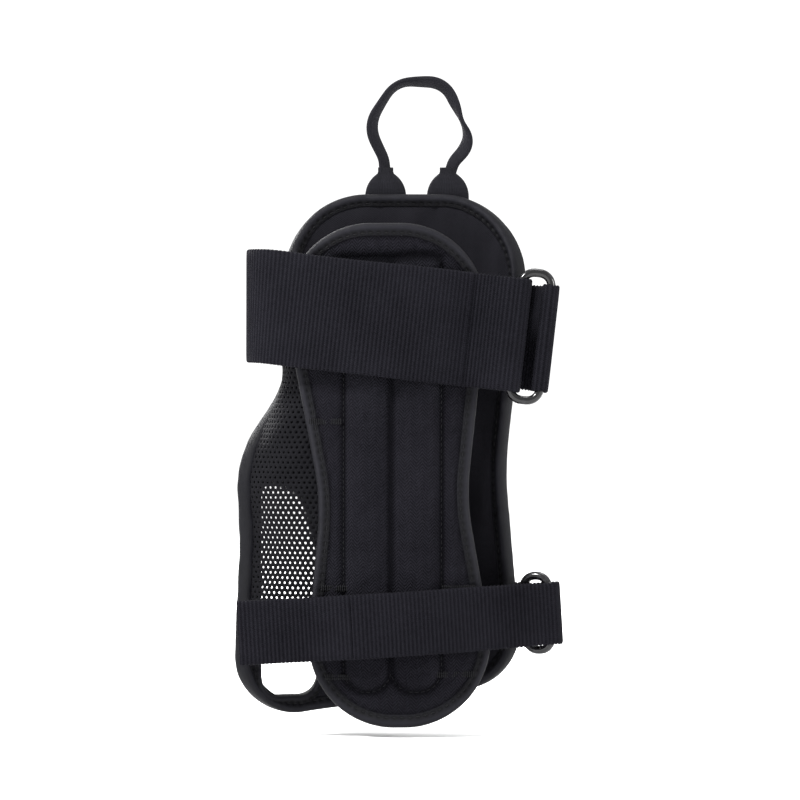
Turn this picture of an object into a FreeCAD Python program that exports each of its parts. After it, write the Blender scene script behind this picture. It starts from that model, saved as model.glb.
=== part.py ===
"""Wrist guard for snow sports, worn on the left hand.

Frame: millimetres, origin at the middle of the wrist inside the guard, +Z up the forearm towards
the elbow, -Y out of the back of the hand, +Y out of the palm, -X towards the thumb and
+X towards the little finger.

Two padded panels hold the wrist: a palm panel that wraps up both sides of the forearm, and an
hourglass panel on the back of the hand. A mesh gusset joins them on the thumb side and the other
side is open. Two straps close that side, each folded round a wire ring.
"""
import FreeCAD, Part
import math
import os
import re

import Sketcher
from FreeCAD import Vector

DOC = FreeCAD.newDocument("wrist_guard")

# --------------------------------------------------------------------------- driving dimensions
SIZES = {
    # palm panel outline, in X and Z
    "palm_top": 125.5, "palm_top_thumb": -45, "palm_top_ulnar": 57,
    "palm_waist_ulnar": 45.5, "palm_waist_height": 14, "palm_heel_ulnar": 53,
    "palm_heel_thumb": -64.5, "palm_base_ulnar": -71, "palm_base_thumb": -87,
    "thumb_side_edge": -61.5, "thumb_side_middle": -14, "thumb_web_edge": -63, "thumb_web_height": 20,
    "notch_edge": -43.5, "notch_height": 50,
    "palm_top_round": 34, "palm_waist_round": 120, "palm_heel_round": 24, "palm_base_round": 23,
    "thumb_side_round": 90, "thumb_web_round": 45, "notch_round": 38,
    # palm panel section, in X and Y
    "palm_face": 17, "palm_thumb_bend": -55.5, "palm_ulnar_bend": 40, "palm_thumb_bend_round": 40,
    "palm_ulnar_bend_round": 50, "palm_thumb_lip": -68.5, "palm_thumb_lip_drop": 28,
    "palm_ulnar_lip": 62, "palm_ulnar_lip_drop": 20.5,
    # back panel outline, in X and Z
    "back_top": 112.5, "back_top_thumb": -50, "back_top_ulnar": 41, "back_waist_thumb": -29,
    "back_waist_ulnar": 29.5, "back_waist_height": 3, "back_heel_thumb": -37, "back_heel_ulnar": 45.5,
    "back_base": -87, "back_top_round": 34, "back_waist_round": 90, "back_heel_round": 34,
    # back panel section, in X and Y
    "back_crown": 25, "back_side_reach": 48, "back_side": 11, "back_round": 110,
    # layers and edges
    "cover_skin": 1, "foam_core": 3, "lining_skin": 1, "binding_width": 5, "binding_skin": 0.5,
    "ring_binding_width": 4,
    # thumb hole outline, in X and Z
    "hole_top": 11, "hole_thumb_edge": -56, "hole_shoulder": -38, "hole_shoulder_height": 4,
    "hole_wide_edge": -24.5, "hole_wide_height": -43, "hole_base": -76, "hole_base_edge": -33,
    "hole_corner_round": 5, "hole_shoulder_round": 10, "hole_wide_round": 24, "hole_base_round": 8,
    # pads and stays
    "pad_rise": 2.2, "pad_low": -11, "pad_top_margin": 15.5, "pad_width": 21, "pad_gap": 9.5,
    "pad_centre": 5.6, "pad_round": 8,
    "heel_pad_top": -15.5, "heel_pad_base": -63, "heel_pad_half_top": 24, "heel_pad_half_base": 29,
    "heel_pad_centre": 11.5, "heel_pad_round": 6,
    "stay_skin": 1.8, "stay_width": 13, "stay_low": -62, "palm_stay_margin": 21.5,
    "back_stay_margin": 9.5, "stay_spacing": 20,
    "stay_round": 6, "palm_stay_low": -58,
    # upper strap
    "strap_skin": 1.6, "strap_gap": 0.15, "upper_width": 45, "upper_drop": 45.5,
    "thumb_side_reach": -55, "thumb_side_depth": -14, "strap_round": 15,
    "strap_crown": 27.2, "strap_crown_round": 110, "strap_landing": 36, "strap_landing_depth": -15.8,
    "strap_landing_round": 20, "tail_lift": 45, "strap_start": 38, "tail_end": 49.6,
    "tail_hinge": -28, "hook_skin": 1, "hook_length": 34, "hook_margin": 3,
    "label_skin": 0.8, "label_width": 35, "label_height": 35, "label_centre": 27, "label_drop": 46.5,
    # wire rings
    "wire": 3.4, "ring_slack": 1.3, "pin_gap": 0.3, "ring_round": 5,
    "upper_ring_x": 54.4, "upper_ring_width": 15.2, "upper_side_gap": 1.1, "upper_tilt": 6.5,
    "upper_tab_side": 1.5, "tab_skin": 1.3, "tab_start": 37,
    # lower strap
    "lower_width": 25, "lower_height": -46, "lower_tilt": -3.4, "lower_end": -61, "lower_end_depth": 19.5,
    "lower_thumb_bend": -50, "lower_slope": 24, "lower_tail_hinge": -22, "lower_hook_length": 22,
    "lower_bar_reach": 62.5, "lower_ring_width": 14.6, "lower_side_gap": 0.6, "lower_tab_side": 1,
    "lower_tab_start": 41, "lower_ring_lean": 28,
    # hanger
    "hanger_width": 3.6, "hanger_depth": 4.4, "hanger_rise": 47.5, "hanger_left": -10,
    "hanger_right": 33, "hanger_foot_width": 17, "hanger_foot_rise": 11, "hanger_foot_sew": 9,
    "hanger_foot_skin": 2.6, "hanger_foot_left": -3, "hanger_foot_right": 22, "hanger_gap": 0.8,
    # gusset
    "mesh_skin": 0.8, "mesh_gap": 0.3, "mesh_low": -62, "mesh_top_margin": 12.5,
    "mesh_bulge_low": 1.5, "mesh_bulge_high": 9,
    # how far the tool solids reach past the guard
    "reach": 150,
}

SHEET = DOC.addObject("Spreadsheet::Sheet", "size")
for row, (word, value) in enumerate(SIZES.items(), start=1):
    SHEET.set("A%d" % row, word)
    SHEET.set("B%d" % row, str(value))
    SHEET.setAlias("B%d" % row, word)
DOC.recompute()


def value_of(rule):
    """The number that a rule over the sheet's words gives now."""
    return float(SHEET.evalExpression(str(rule)))


def bound(rule):
    """The same rule, written so that another object can follow the sheet."""
    return re.sub(r"[a-z_]+", lambda word: "size." + word.group() if word.group() in SIZES else word.group(),
                  str(rule))


def bind(item, settings):
    for prop, rule in settings.items():
        item.setExpression(prop, bound(rule))


# --------------------------------------------------------------------------- sketches and solids
FLAT = FreeCAD.Placement()
UPRIGHT = FreeCAD.Placement(Vector(), FreeCAD.Rotation(Vector(1, 0, 0), 90))


def corner_arc(before, corner, after, radius):
    """The two ends of the arc that rounds a corner, the arc itself, and whether it turns left."""
    back, ahead = (before - corner).normalize(), (after - corner).normalize()
    half = back.getAngle(ahead) / 2
    run = radius / math.tan(half)
    start, end = corner + back * run, corner + ahead * run
    centre = corner + (back + ahead).normalize() * (radius / math.sin(half))
    left = ahead.cross(back).z > 0
    first, last = (start, end) if left else (end, start)
    angles = [math.atan2(spot.y - centre.y, spot.x - centre.x) for spot in (first, last)]
    return start, end, Part.ArcOfCircle(Part.Circle(centre, Vector(0, 0, 1), radius), *angles), left


def sketch(name, corners, closed=True, plane=UPRIGHT):
    """A line of straight runs with rounded corners. Each corner is a rule for its two places and
    one for its radius, or None where it is sharp."""
    item = DOC.addObject("Sketcher::SketchObject", name)
    item.Placement = plane
    places = [Vector(value_of(x), value_of(y), 0) for x, y, _ in corners]
    count = len(places)
    arcs = {}
    for i, (_, _, radius) in enumerate(corners):
        if radius:
            arcs[i] = corner_arc(places[i - 1], places[i], places[(i + 1) % count], value_of(radius))
    runs = []
    for i in range(count if closed else count - 1):
        after = (i + 1) % count
        start = arcs[i][1] if i in arcs else places[i]
        end = arcs[after][0] if after in arcs else places[after]
        runs.append(item.addGeometry(Part.LineSegment(start, end), False))

    def hold(kind, *parts, rule=None):
        number = item.addConstraint(Sketcher.Constraint(kind, *parts))
        if rule is not None:
            item.setExpression("Constraints[%d]" % number, bound(rule))

    for i, (x, y, radius) in enumerate(corners):
        before = runs[i - 1] if closed or i > 0 else None
        after = runs[i] if i < len(runs) else None
        if radius:
            arc, left = item.addGeometry(arcs[i][2], False), arcs[i][3]
            hold("Tangent", before, 2, arc, 1 if left else 2)
            hold("Tangent", after, 1, arc, 2 if left else 1)
            hold("Radius", arc, value_of(radius), rule=radius)
            knot = item.addGeometry(Part.Point(places[i]), True)
            hold("PointOnObject", knot, 1, before)
            hold("PointOnObject", knot, 1, after)
            spot = (knot, 1)
        elif after is None:
            spot = (before, 2)
        else:
            spot = (after, 1)
            if before is not None:
                hold("Coincident", before, 2, after, 1)
        hold("DistanceX", *spot, places[i].x, rule=x)
        hold("DistanceY", *spot, places[i].y, rule=y)
    return item


def grown(name, source, rule, fill=False, mode="Skin"):
    """A line moved sideways by a rule, or the face between the two."""
    item = DOC.addObject("Part::Offset2D", name)
    item.Source = source
    item.Value = value_of(rule)
    item.Mode = mode
    item.Join = "Intersection" if fill else "Arc"
    item.Fill = fill
    bind(item, {"Value": rule})
    return item


def resized(name, outline, rule):
    """The face inside a closed outline, grown or shrunk all round by a rule."""
    face = DOC.addObject("Part::Face", name + "_inside")
    face.Sources = [outline]
    return grown(name, face, rule)


def pushed(name, source, direction, ahead="reach", behind="reach"):
    """A solid pushed out of a closed line or a face, both ways."""
    item = DOC.addObject("Part::Extrusion", name)
    item.Base = source
    item.DirMode = "Custom"
    item.Dir = direction
    item.Solid = True
    bind(item, {"LengthFwd": ahead, "LengthRev": behind})
    return item


def upright(name, outline, ahead="reach", behind="reach"):
    """An outline in X and Z pushed along Y, through the guard."""
    return pushed(name, outline, Vector(0, 1, 0), ahead, behind)


def leaning(angle):
    """The direction that a ring's long bars take."""
    turn = math.radians(value_of(angle))
    return Vector(math.sin(turn), 0, math.cos(turn))


def layer(name, path, start, skin, direction=Vector(0, 0, 1)):
    """The endless layer that lies a start beyond a section line and is a skin thick."""
    line = path if str(start) == "0" else grown(name + "_line", path, start)
    return pushed(name + "_layer", grown(name + "_face", line, skin, fill=True), direction)


def boolean(kind, name, **links):
    item = DOC.addObject(kind, name)
    for prop, link in links.items():
        setattr(item, prop, link)
    return item


def common(name, *parts):
    return boolean("Part::MultiCommon", name, Shapes=list(parts))


def fuse(name, *parts):
    return boolean("Part::MultiFuse", name, Shapes=list(parts))


def cut(name, base, *tools):
    tool = tools[0] if len(tools) == 1 else fuse(name + "_tools", *tools)
    return boolean("Part::Cut", name, Base=base, Tool=tool)


NODES = []


def node(name, item):
    """Names an object as one of the guard's separate pieces."""
    item.Label = name
    NODES.append(item)
    return item


# --------------------------------------------------------------------------- section lines
def palm_section():
    """Outer face of the palm panel, from the little-finger side to the thumb side."""
    return sketch("palm_section", [
        ("palm_ulnar_lip", "palm_face - palm_ulnar_lip_drop", None),
        ("palm_ulnar_bend", "palm_face", "palm_ulnar_bend_round"),
        ("palm_thumb_bend", "palm_face", "palm_thumb_bend_round"),
        ("palm_thumb_lip", "palm_face - palm_thumb_lip_drop", None)], closed=False, plane=FLAT)


def back_section():
    """Outer face of the back panel, a shallow arch from the thumb side."""
    return sketch("back_section", [
        ("-back_side_reach", "-back_side", None), ("0", "-back_crown", "back_round"),
        ("back_side_reach", "-back_side", None)], closed=False, plane=FLAT)


PALM_SECTION = palm_section()
BACK_SECTION = back_section()
STACK = "cover_skin + foam_core + lining_skin"


def panel_layers(side, section, inset, holes, stays):
    """Cover, foam and lining of one panel, inside its binding. The foam has a pocket for each stay."""
    starts = {"cover": ("0", "-cover_skin"), "foam": ("-cover_skin", "-foam_core"),
              "lining": ("-cover_skin - foam_core", "-lining_skin")}
    for part, (start, skin) in starts.items():
        slab = layer(side + "_" + part, section, start, skin)
        piece = common("%s_%s_whole" % (side, part), slab, inset)
        tools = holes + (stays if part == "foam" else [])
        if tools:
            piece = cut("%s_%s_piece" % (side, part), piece, *tools)
        node("%s_%s" % (side, {"cover": "outer_cover"}.get(part, part)), piece)


def stays(side, section, low, high, centre):
    """Two flat plastic stays, bent to the panel, that lie in pockets under its cover."""
    slab = layer(side + "_stay", section, "-cover_skin", "-stay_skin")
    found = []
    for name, sign in (("thumb", "-"), ("ulnar", "+")):
        middle = "%s %s stay_spacing / 2" % (centre, sign)
        outline = sketch("%s_stay_%s_outline" % (side, name), [
            (middle + " - stay_width / 2", low, "stay_round"),
            (middle + " + stay_width / 2", low, "stay_round"),
            (middle + " + stay_width / 2", high, "stay_round"),
            (middle + " - stay_width / 2", high, "stay_round")])
        shape = common("%s_stay_%s_piece" % (side, name), slab, upright("%s_stay_%s_cutter" % (side, name),
                                                                      outline))
        found.append(node("%s_stay_%s" % (side, name), shape))
    return found


def binding(name, section, outline, inset, width_tools=()):
    """The folded tape round a panel's edge. It stands a little proud of both faces."""
    line = grown(name + "_line", section, "binding_skin")
    face = grown(name + "_face", line, "-(%s) - 2 * binding_skin" % STACK, fill=True)
    slab = pushed(name + "_layer", face, Vector(0, 0, 1))
    band = common(name + "_whole", slab, outline)
    return slab, node(name, cut(name + "_piece", band, inset, *width_tools))


# --------------------------------------------------------------------------- palm panel
def palm_panel():
    outline = sketch("palm_outline", [
        ("palm_top_thumb", "palm_top", "palm_top_round"),
        ("notch_edge", "notch_height", "notch_round"),
        ("thumb_web_edge", "thumb_web_height", "thumb_web_round"),
        ("thumb_side_edge", "thumb_side_middle", "thumb_side_round"),
        ("palm_heel_thumb", "palm_base_thumb", "palm_base_round"),
        ("palm_heel_ulnar", "palm_base_ulnar", "palm_heel_round"),
        ("palm_waist_ulnar", "palm_waist_height", "palm_waist_round"),
        ("palm_top_ulnar", "palm_top", "palm_top_round")])
    hole = sketch("thumb_hole_outline", [
        ("hole_thumb_edge", "hole_base", "hole_base_round"),
        ("hole_base_edge", "hole_base", "hole_base_round"),
        ("hole_wide_edge", "hole_wide_height", "hole_wide_round"),
        ("hole_shoulder", "hole_shoulder_height", "hole_shoulder_round"),
        ("hole_thumb_edge", "hole_top", "hole_corner_round")])
    whole = upright("palm_cutter", outline)
    inset = upright("palm_inset_cutter", resized("palm_inset", outline, "-binding_width"))
    opening = upright("thumb_hole_cutter", hole)
    rim = upright("thumb_rim_cutter", resized("thumb_rim", hole, "ring_binding_width"))
    splints = stays("palm", PALM_SECTION, "palm_stay_low", "palm_top - palm_stay_margin", "pad_centre")
    panel_layers("palm", PALM_SECTION, inset, [rim], splints)
    slab, edge = binding("palm_binding", PALM_SECTION, whole, inset, [rim])
    node("thumb_hole_binding", cut("thumb_hole_binding_piece", common("thumb_rim_whole", slab, rim, whole),
                                   opening))
    return edge


def palm_pads():
    """Raised pads on the palm panel's outer face: two up the forearm and one on the heel."""
    slab = layer("pad", PALM_SECTION, "0", "pad_rise")
    for name, left in (("thumb", "pad_centre - pad_gap / 2 - pad_width"),
                       ("ulnar", "pad_centre + pad_gap / 2")):
        right = left + " + pad_width"
        outline = sketch("forearm_pad_%s_outline" % name, [
            (left, "pad_low", "pad_round"), (right, "pad_low", "pad_round"),
            (right, "palm_top - pad_top_margin", "pad_round"),
            (left, "palm_top - pad_top_margin", "pad_round")])
        node("forearm_pad_" + name, common("forearm_pad_%s_piece" % name, slab,
                                           upright("forearm_pad_%s_cutter" % name, outline)))
    outline = sketch("heel_pad_outline", [
        ("heel_pad_centre - heel_pad_half_base", "heel_pad_base", "heel_pad_round"),
        ("heel_pad_centre + heel_pad_half_base", "heel_pad_base", "heel_pad_round"),
        ("heel_pad_centre + heel_pad_half_top", "heel_pad_top", "heel_pad_round"),
        ("heel_pad_centre - heel_pad_half_top", "heel_pad_top", "heel_pad_round")])
    node("heel_pad", common("heel_pad_piece", slab, upright("heel_pad_cutter", outline)))


# --------------------------------------------------------------------------- back panel
def back_panel():
    outline = sketch("back_outline", [
        ("back_top_thumb", "back_top", "back_top_round"),
        ("back_waist_thumb", "back_waist_height", "back_waist_round"),
        ("back_heel_thumb", "back_base", "back_heel_round"),
        ("back_heel_ulnar", "back_base", "back_heel_round"),
        ("back_waist_ulnar", "back_waist_height", "back_waist_round"),
        ("back_top_ulnar", "back_top", "back_top_round")])
    whole = upright("back_cutter", outline)
    inset = upright("back_inset_cutter", resized("back_inset", outline, "-binding_width"))
    splints = stays("back", BACK_SECTION, "stay_low", "back_top - back_stay_margin", "0")
    panel_layers("back", BACK_SECTION, inset, [], splints)
    _, edge = binding("back_binding", BACK_SECTION, whole, inset)
    return edge


# --------------------------------------------------------------------------- mesh gusset
def end_face(edge, height):
    """X, and the least and most Y, of a binding's thumb-side end face at one height."""
    sliver = 0.05
    box = Part.makeBox(200, 200, sliver, Vector(-100, -100, height))
    slab = edge.Shape.common(box)
    left = slab.BoundBox.XMin
    tip = slab.common(Part.makeBox(sliver, 200, sliver, Vector(left, -100, height))).BoundBox
    return left, tip.YMin, tip.YMax


def mesh_gusset(palm_edge, back_edge):
    """Thin mesh from the palm panel's thumb-side edge to the back panel's, as a loft of arched
    strips. Its ends follow the two bindings."""
    DOC.recompute()
    low, high = value_of("mesh_low"), value_of("back_top - mesh_top_margin")
    gap, skin = value_of("mesh_gap"), value_of("mesh_skin")
    rows = 17
    wires = []
    for row in range(rows):
        share = row / (rows - 1)
        height = low + (high - low) * share
        palm_x, palm_y, _ = end_face(palm_edge, height)
        back_x, back_low, back_high = end_face(back_edge, height)
        start = Vector(palm_x - gap, palm_y - gap, height)
        end = Vector(back_x - gap - skin, (back_low + back_high) / 2, height)
        chord = end - start
        outward = Vector(chord.y, -chord.x, 0).normalize()
        bulge = value_of("mesh_bulge_low") * (1 - share) + value_of("mesh_bulge_high") * share
        middle = (start + end) / 2
        outer = Part.Arc(start + outward * skin, middle + outward * (bulge + skin), end + outward * skin)
        inner = Part.Arc(end, middle + outward * bulge, start)
        wires.append(Part.Wire([outer.toShape(), Part.makeLine(end + outward * skin, end),
                                inner.toShape(), Part.makeLine(start, start + outward * skin)]))
    item = DOC.addObject("Part::Feature", "mesh_gusset_piece")
    item.Shape = Part.makeLoft(wires, True, True)
    node("mesh_gusset", item)


# --------------------------------------------------------------------------- straps
STRAP_START = "pad_rise + strap_gap"
FOLD = "wire / 2 + ring_slack + strap_skin"
UPPER_DROP_RATE = "tan(upper_tilt)"
HALF_SPAN = "(upper_ring_width - wire) / 2"
UPPER_BAR_X = "upper_ring_x - %s * cos(upper_tilt)" % HALF_SPAN
UPPER_BAR_Y = "strap_landing_depth - (%s)" % FOLD
UPPER_HEIGHT = "palm_top - upper_drop"
UPPER_BAR_Z = "%s - %s * (%s - thumb_side_reach)" % (UPPER_HEIGHT, UPPER_DROP_RATE, UPPER_BAR_X)
UPPER_RING_Z = "%s - %s * sin(upper_tilt)" % (UPPER_BAR_Z, HALF_SPAN)
UPPER_TAB_BAR_X = "upper_ring_x + %s * cos(upper_tilt)" % HALF_SPAN
UPPER_TAB_BAR_Z = "%s - %s * sin(upper_tilt)" % (UPPER_RING_Z, HALF_SPAN)
TAB_INSIDE = "wire / 2 + pin_gap + tab_skin / 4"
LOWER_RING_Z = "lower_height - tan(lower_tilt) * lower_bar_reach"
LOWER_STEP = "strap_skin + hook_skin + 2 * strap_gap"


def upper_section(name, offset, tail):
    """Section line of one layer of the upper strap. The layer lies an offset outside the pads."""
    palm = "palm_face + " + offset
    corners = [
        ("palm_ulnar_lip + (%s) / 2" % offset, "palm_face - palm_ulnar_lip_drop + (%s)" % offset, None),
        ("palm_ulnar_bend", palm, "palm_ulnar_bend_round + " + offset),
        ("thumb_side_reach - (%s)" % tail, palm, "strap_round + " + tail),
        ("thumb_side_reach - (%s)" % tail, "thumb_side_depth - (%s) / 2" % tail, "strap_round + " + tail),
        ("0", "-strap_crown - (%s)" % tail, "strap_crown_round"),
        ("strap_landing", "strap_landing_depth - (%s)" % tail, "strap_landing_round")]
    if tail == "0":
        corners.append((UPPER_BAR_X + " + 8", "strap_landing_depth", None))
        return sketch(name, corners, closed=False, plane=FLAT)
    corners[-1] = ("strap_landing - 3", "strap_landing_depth - (%s)" % tail, "strap_landing_round / 2")
    corners.append(("tail_lift", UPPER_BAR_Y + " - wire / 2 - ring_slack", "strap_landing_round / 4"))
    corners.append((UPPER_BAR_X + " + 8", UPPER_BAR_Y + " - wire / 2 - ring_slack", None))
    return sketch(name, corners, closed=False, plane=FLAT)


def slanted(name, left, right, centre, width, rate, pivot, ends=("0", "0")):
    """A band in X and Z whose middle passes a height at a pivot and falls at a rate. Its two ends
    can lean by a rate of their own."""
    corners = []
    for x, sign, lean in ((left, "-", ends[0]), (right, "-", ends[1]), (right, "+", ends[1]),
                          (left, "+", ends[0])):
        shift = "(%s) * (%s (%s) / 2) / (1 + (%s) * (%s))" % (lean, sign, width, rate, lean)
        rise = "%s %s (%s) / 2 - (%s) * (%s + %s - (%s))" % (centre, sign, width, rate, x, shift, pivot)
        corners.append(("%s + %s" % (x, shift), rise, None))
    return sketch(name, corners)


def tilted_tube(name, x, y, height, tilt, inner, outer, length):
    """A tube along a leaning bar, and the bar's middle line as a placement."""
    pair = []
    for kind, radius in (("outer", outer), ("inner", inner)):
        rod = DOC.addObject("Part::Cylinder", "%s_%s" % (name, kind))
        bind(rod, {"Radius": radius, "Height": length,
                   "Placement.Base.x": "%s - (%s) / 2 * sin(%s)" % (x, length, tilt),
                   "Placement.Base.y": y,
                   "Placement.Base.z": "%s - (%s) / 2 * cos(%s)" % (height, length, tilt),
                   "Placement.Rotation.Axis.x": "0", "Placement.Rotation.Axis.y": "1",
                   "Placement.Rotation.Axis.z": "0", "Placement.Rotation.Angle": tilt})
        pair.append(rod)
    return cut(name, *pair)


def wire_ring(name, x, y, height, width, length, tilt, lean):
    """A rounded rectangular ring of round wire, leaning in X and Z and turned about its long bars."""
    half_width, half_length = "(%s - wire) / 2" % width, "(%s - wire) / 2" % length
    path = sketch(name + "_path", [
        ("-" + half_width, "-" + half_length, "ring_round"), (half_width, "-" + half_length, "ring_round"),
        (half_width, half_length, "ring_round"), ("-" + half_width, half_length, "ring_round")])
    section = DOC.addObject("Part::Circle", name + "_section")
    bind(section, {"Radius": "wire / 2", "Placement.Base.x": half_width})
    loop = DOC.addObject("Part::Sweep", name + "_loop")
    loop.Sections = [section]
    loop.Spine = (path, [])
    loop.Solid = True
    loop.Frenet = True
    turn = FreeCAD.Rotation(Vector(0, 1, 0), value_of(tilt))
    turn = turn * FreeCAD.Rotation(Vector(0, 0, 1), -value_of(lean))
    loop.Placement = FreeCAD.Placement(Vector(value_of(x), value_of(y), value_of(height)), turn)
    bind(loop, {"Placement.Base.x": x, "Placement.Base.y": y, "Placement.Base.z": height})
    return node(name, loop)


def upper_strap():
    """Wide elastic strap. It starts on the palm, goes round the thumb side and over the back of
    the hand, folds round the ring and comes back over itself to its tail on the palm."""
    lean = UPPER_DROP_RATE
    first = upper_section("upper_inner_section", STRAP_START, "0")
    outer_offset = "%s + strap_skin + strap_gap + hook_skin + strap_gap" % STRAP_START
    second = upper_section("upper_outer_section", outer_offset, "strap_skin + strap_gap")

    def back_half(name, right, width="upper_width"):
        band = slanted(name, "thumb_side_reach - 10", right, UPPER_HEIGHT, width,
                       UPPER_DROP_RATE, "thumb_side_reach", ("0", lean))
        return upright(name + "_cutter", band, "0", "reach")

    def palm_half(name, left, right, width="upper_width"):
        band = slanted(name, left, right, UPPER_HEIGHT, width, "0", "0")
        return upright(name + "_cutter", band, "reach", "0")

    inner = layer("upper_inner", first, "0", "strap_skin")
    pieces = [common("upper_strap_back", inner, back_half("upper_back_band", UPPER_BAR_X)),
              common("upper_strap_palm", inner, palm_half("upper_palm_band", "thumb_side_reach - 10",
                                                          "strap_start"))]
    tube = tilted_tube("upper_fold_tube", UPPER_BAR_X, UPPER_BAR_Y, UPPER_BAR_Z, "upper_tilt",
                       "wire / 2 + ring_slack", FOLD, "upper_width * cos(upper_tilt)")
    half = slanted("upper_fold_band", UPPER_BAR_X, UPPER_BAR_X + " + 10", UPPER_BAR_Z, "upper_width + 30",
                   "0", UPPER_BAR_X, (lean, lean))
    pieces.append(common("upper_fold_half", tube, upright("upper_fold_cutter", half)))
    outer = layer("upper_outer", second, "0", "strap_skin")
    pieces.append(common("upper_return_back", outer, back_half("upper_return_band", UPPER_BAR_X)))
    pieces.append(common("upper_return_palm", outer, palm_half("upper_return_palm_band",
                                                               "thumb_side_reach - 10",
                                                               "tail_hinge - strap_gap")))
    node("upper_strap", fuse("upper_strap_piece", *pieces))

    flap = palm_half("upper_tail_band", "tail_hinge + strap_gap", "tail_end")
    node("upper_strap_tail", common("upper_strap_tail_piece", outer, flap))
    hook = layer("upper_hook", second, "0", "-hook_skin")
    patch = palm_half("upper_hook_band", "tail_end - hook_length", "tail_end - hook_margin",
                      "upper_width - 2 * hook_margin")
    node("upper_hook_patch", common("upper_hook_patch_piece", hook, patch))
    label = layer("label", second, "strap_skin", "label_skin")
    card = slanted("label_band", "label_centre - label_width / 2", "label_centre + label_width / 2",
                   "palm_top - label_drop", "label_height", "0", "0")
    node("label_patch", common("label_patch_piece", label, upright("label_cutter", card, "reach", "0")))


def upper_ring():
    wire_ring("upper_ring", "upper_ring_x", UPPER_BAR_Y, UPPER_RING_Z, "upper_ring_width",
              "(upper_width + 2 * upper_side_gap + 2 * wire)", "upper_tilt", "0")
    tab_start = "binding_skin + strap_gap"
    sewn = common("upper_tab_sewn", layer("upper_tab_flat", PALM_SECTION, tab_start, "tab_skin"),
                  upright("upper_tab_sewn_cutter", slanted(
                      "upper_tab_sewn_band", "tab_start", "palm_waist_ulnar + 5", UPPER_RING_Z,
                      "upper_width - 2 * upper_tab_side", "0", "upper_ring_x", ("0", UPPER_DROP_RATE))))
    free = sketch("upper_tab_section", [
        ("palm_ulnar_bend + 10.4", "palm_face - 7.5", None),
        ("palm_ulnar_bend + 17.4", "palm_face - 12.4", "8"),
        ("%s + %s" % (UPPER_TAB_BAR_X, TAB_INSIDE), UPPER_BAR_Y + " + 11", "8"),
        ("%s + %s" % (UPPER_TAB_BAR_X, TAB_INSIDE), UPPER_BAR_Y, None)], closed=False, plane=FLAT)
    bind(free, {"Placement.Base.z": UPPER_TAB_BAR_Z})
    face = grown("upper_tab_face", free, "-tab_skin", fill=True)
    band = slanted("upper_tab_band", "palm_ulnar_bend", "%s + 12" % UPPER_TAB_BAR_X, UPPER_TAB_BAR_Z,
                   "upper_width - 2 * upper_tab_side", UPPER_DROP_RATE, UPPER_TAB_BAR_X)
    strip = common("upper_tab_strip", pushed("upper_tab_layer", face, leaning("upper_tilt")),
                   upright("upper_tab_cutter", band))
    loop = tilted_tube("upper_tab_tube", UPPER_TAB_BAR_X, UPPER_BAR_Y, UPPER_TAB_BAR_Z, "upper_tilt",
                       "wire / 2 + pin_gap", "wire / 2 + pin_gap + tab_skin",
                       "upper_width - 2 * upper_tab_side - 1")
    node("upper_ring_tab", fuse("upper_ring_tab_piece", sewn, strip, loop))


def lower_sketch(name, corners, closed=False):
    """A section line of the lower strap or its tab, at the height of the lower ring's middle."""
    item = sketch(name, corners, closed, FLAT)
    bind(item, {"Placement.Base.z": LOWER_RING_Z})
    return item


def lower_places():
    """Rules for the lower ring's two bars, from where its strap leaves the back panel."""
    slope = "lower_slope"
    bar_x = "lower_bar_reach"
    bar_y = ("strap_landing_depth + (lower_bar_reach - strap_landing) * tan(%s) - (%s) / cos(%s)"
             % (slope, FOLD, slope))
    spacing = "(lower_ring_width - wire)"
    inner_x = "%s - %s * cos(lower_ring_lean)" % (bar_x, spacing)
    inner_y = "%s + %s * sin(lower_ring_lean)" % (bar_y, spacing)
    return bar_x, bar_y, inner_x, inner_y


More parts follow.
